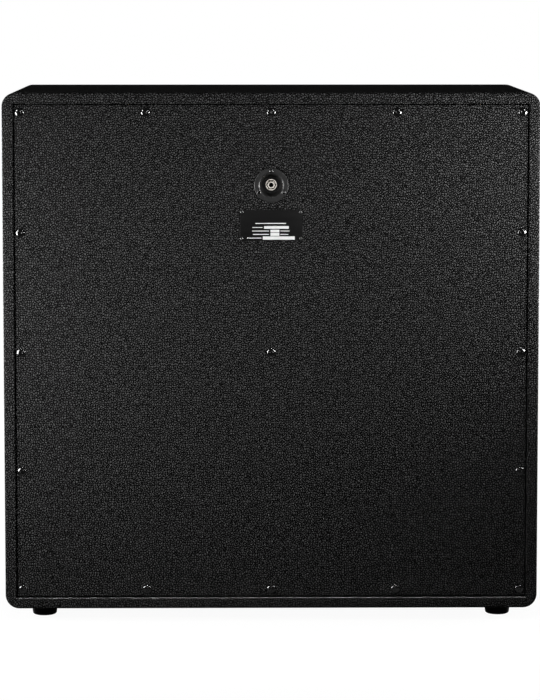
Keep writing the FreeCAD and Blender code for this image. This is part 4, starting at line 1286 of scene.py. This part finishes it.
def lamps(stage):
    """Lamps at both sides of the rear, two for its screws, and more for top, lip, jack and grille."""
    top, rear = cad_box[1].z, cad_box[1].y
    soft_lamp("left_lamp", spot=(0.85, 0.56, 0.44), target=(0.25, rear, 0.52), size=(0.3, 0.46),
              watts=stage.left_power, spread=110)
    soft_lamp("right_lamp", spot=(-0.8, 0.52, 0.6), target=(-0.3, rear, 0.74), size=(0.3, 0.26),
              watts=stage.right_power, spread=100)
    soft_lamp("left_glint_lamp", spot=(1.3, 1.6, 1.2), target=(0.1, rear, 0.45), size=(0.35, 0.45),
              watts=stage.left_glint_power, spread=50)
    soft_lamp("right_glint_lamp", spot=(-1.1, 2, 1.5), target=(0, rear, 0.48), size=(0.28, 0.28),
              watts=stage.right_glint_power, spread=50)
    soft_lamp("overhead_lamp", spot=(0, 0, 2.4), target=(0, 0, top), size=(1, 1),
              watts=stage.overhead_power)
    soft_lamp("lip_lamp", spot=(0, 0.35, 1.6), target=(0, 0.35, 0), size=(1.2, 0.1),
              watts=stage.lip_power, spread=22)
    soft_lamp("jack_lamp", spot=(-0.02, 1.9, 0.51), target=(0, rear, 0.62), size=(0.25, 0.25),
              watts=stage.jack_power, spread=60)
    for side in SIDES.values():
        soft_lamp("grille_lamp", spot=(side * 1.5, -1.5, top / 2), target=(0, 0, top / 2),
                  size=(1.2, top * 0.9), watts=stage.front_power)


def camera(stage):
    """Camera that looks at the rear, with the lens shifted to keep the cabinet in the picture."""
    bpy.ops.object.camera_add(
        location=stage.camera_place,
        rotation=(QUARTER_TURN - stage.camera_pitch, 0, math.pi + stage.camera_yaw))
    eye = bpy.context.object
    eye.name = "camera"
    eye.data.lens = stage.focal_length
    eye.data.shift_x, eye.data.shift_y = stage.shift_x, stage.shift_y
    eye.data.clip_end = 100
    bpy.context.scene.camera = eye


class CABINET_OT_stage(bpy.types.Operator):
    """Set the floor, the backdrop, the lamps and the camera"""

    bl_idname = "cabinet.stage"
    bl_label = "Set the stage"

    def execute(self, context):
        stage = context.scene.cabinet_stage
        pale_floor(stage)
        backdrop(stage)
        lamps(stage)
        camera(stage)
        context.scene.view_settings.view_transform = "Standard"
        return {"FINISHED"}


# Panel and registration


class CABINET_PT_pieces(bpy.types.Panel):
    """Steps that build the cabinet, in order"""

    bl_idname = "CABINET_PT_pieces"
    bl_label = "Speaker cabinet"
    bl_space_type = "VIEW_3D"
    bl_region_type = "UI"
    bl_category = "Cabinet"

    def draw(self, context):
        for step in STEPS:
            self.layout.operator(step.bl_idname)


STEPS = (
    CABINET_OT_finish_construction, CABINET_OT_cover_box, CABINET_OT_cover_rear_panel,
    CABINET_OT_rear_screws, CABINET_OT_jack, CABINET_OT_nameplate, CABINET_OT_feet,
    CABINET_OT_grille_cloth, CABINET_OT_handles, CABINET_OT_suspension, CABINET_OT_stage,
)
SETTINGS = {
    "cabinet_cover": CabinetCoverSettings,
    "cabinet_hardware": CabinetHardwareSettings,
    "cabinet_cloth": CabinetClothSettings,
    "cabinet_stage": CabinetStageSettings,
}


def register():
    for kind in (*SETTINGS.values(), *STEPS, CABINET_PT_pieces):
        bpy.utils.register_class(kind)
    for name, kind in SETTINGS.items():
        setattr(bpy.types.Scene, name, bpy.props.PointerProperty(type=kind))


def unregister():
    for name in SETTINGS:
        delattr(bpy.types.Scene, name)
    for kind in (CABINET_PT_pieces, *STEPS, *SETTINGS.values()):
        bpy.utils.unregister_class(kind)


def main():
    register()
    bpy.ops.cabinet.finish_construction()
    bpy.ops.cabinet.cover_box()
    bpy.ops.cabinet.cover_rear_panel()
    bpy.ops.cabinet.rear_screws()
    bpy.ops.cabinet.jack()
    bpy.ops.cabinet.nameplate()
    bpy.ops.cabinet.feet()
    bpy.ops.cabinet.grille_cloth()
    bpy.ops.cabinet.handles()
    bpy.ops.cabinet.suspension()
    bpy.ops.cabinet.stage()


if __name__ == "__main__":
    main()
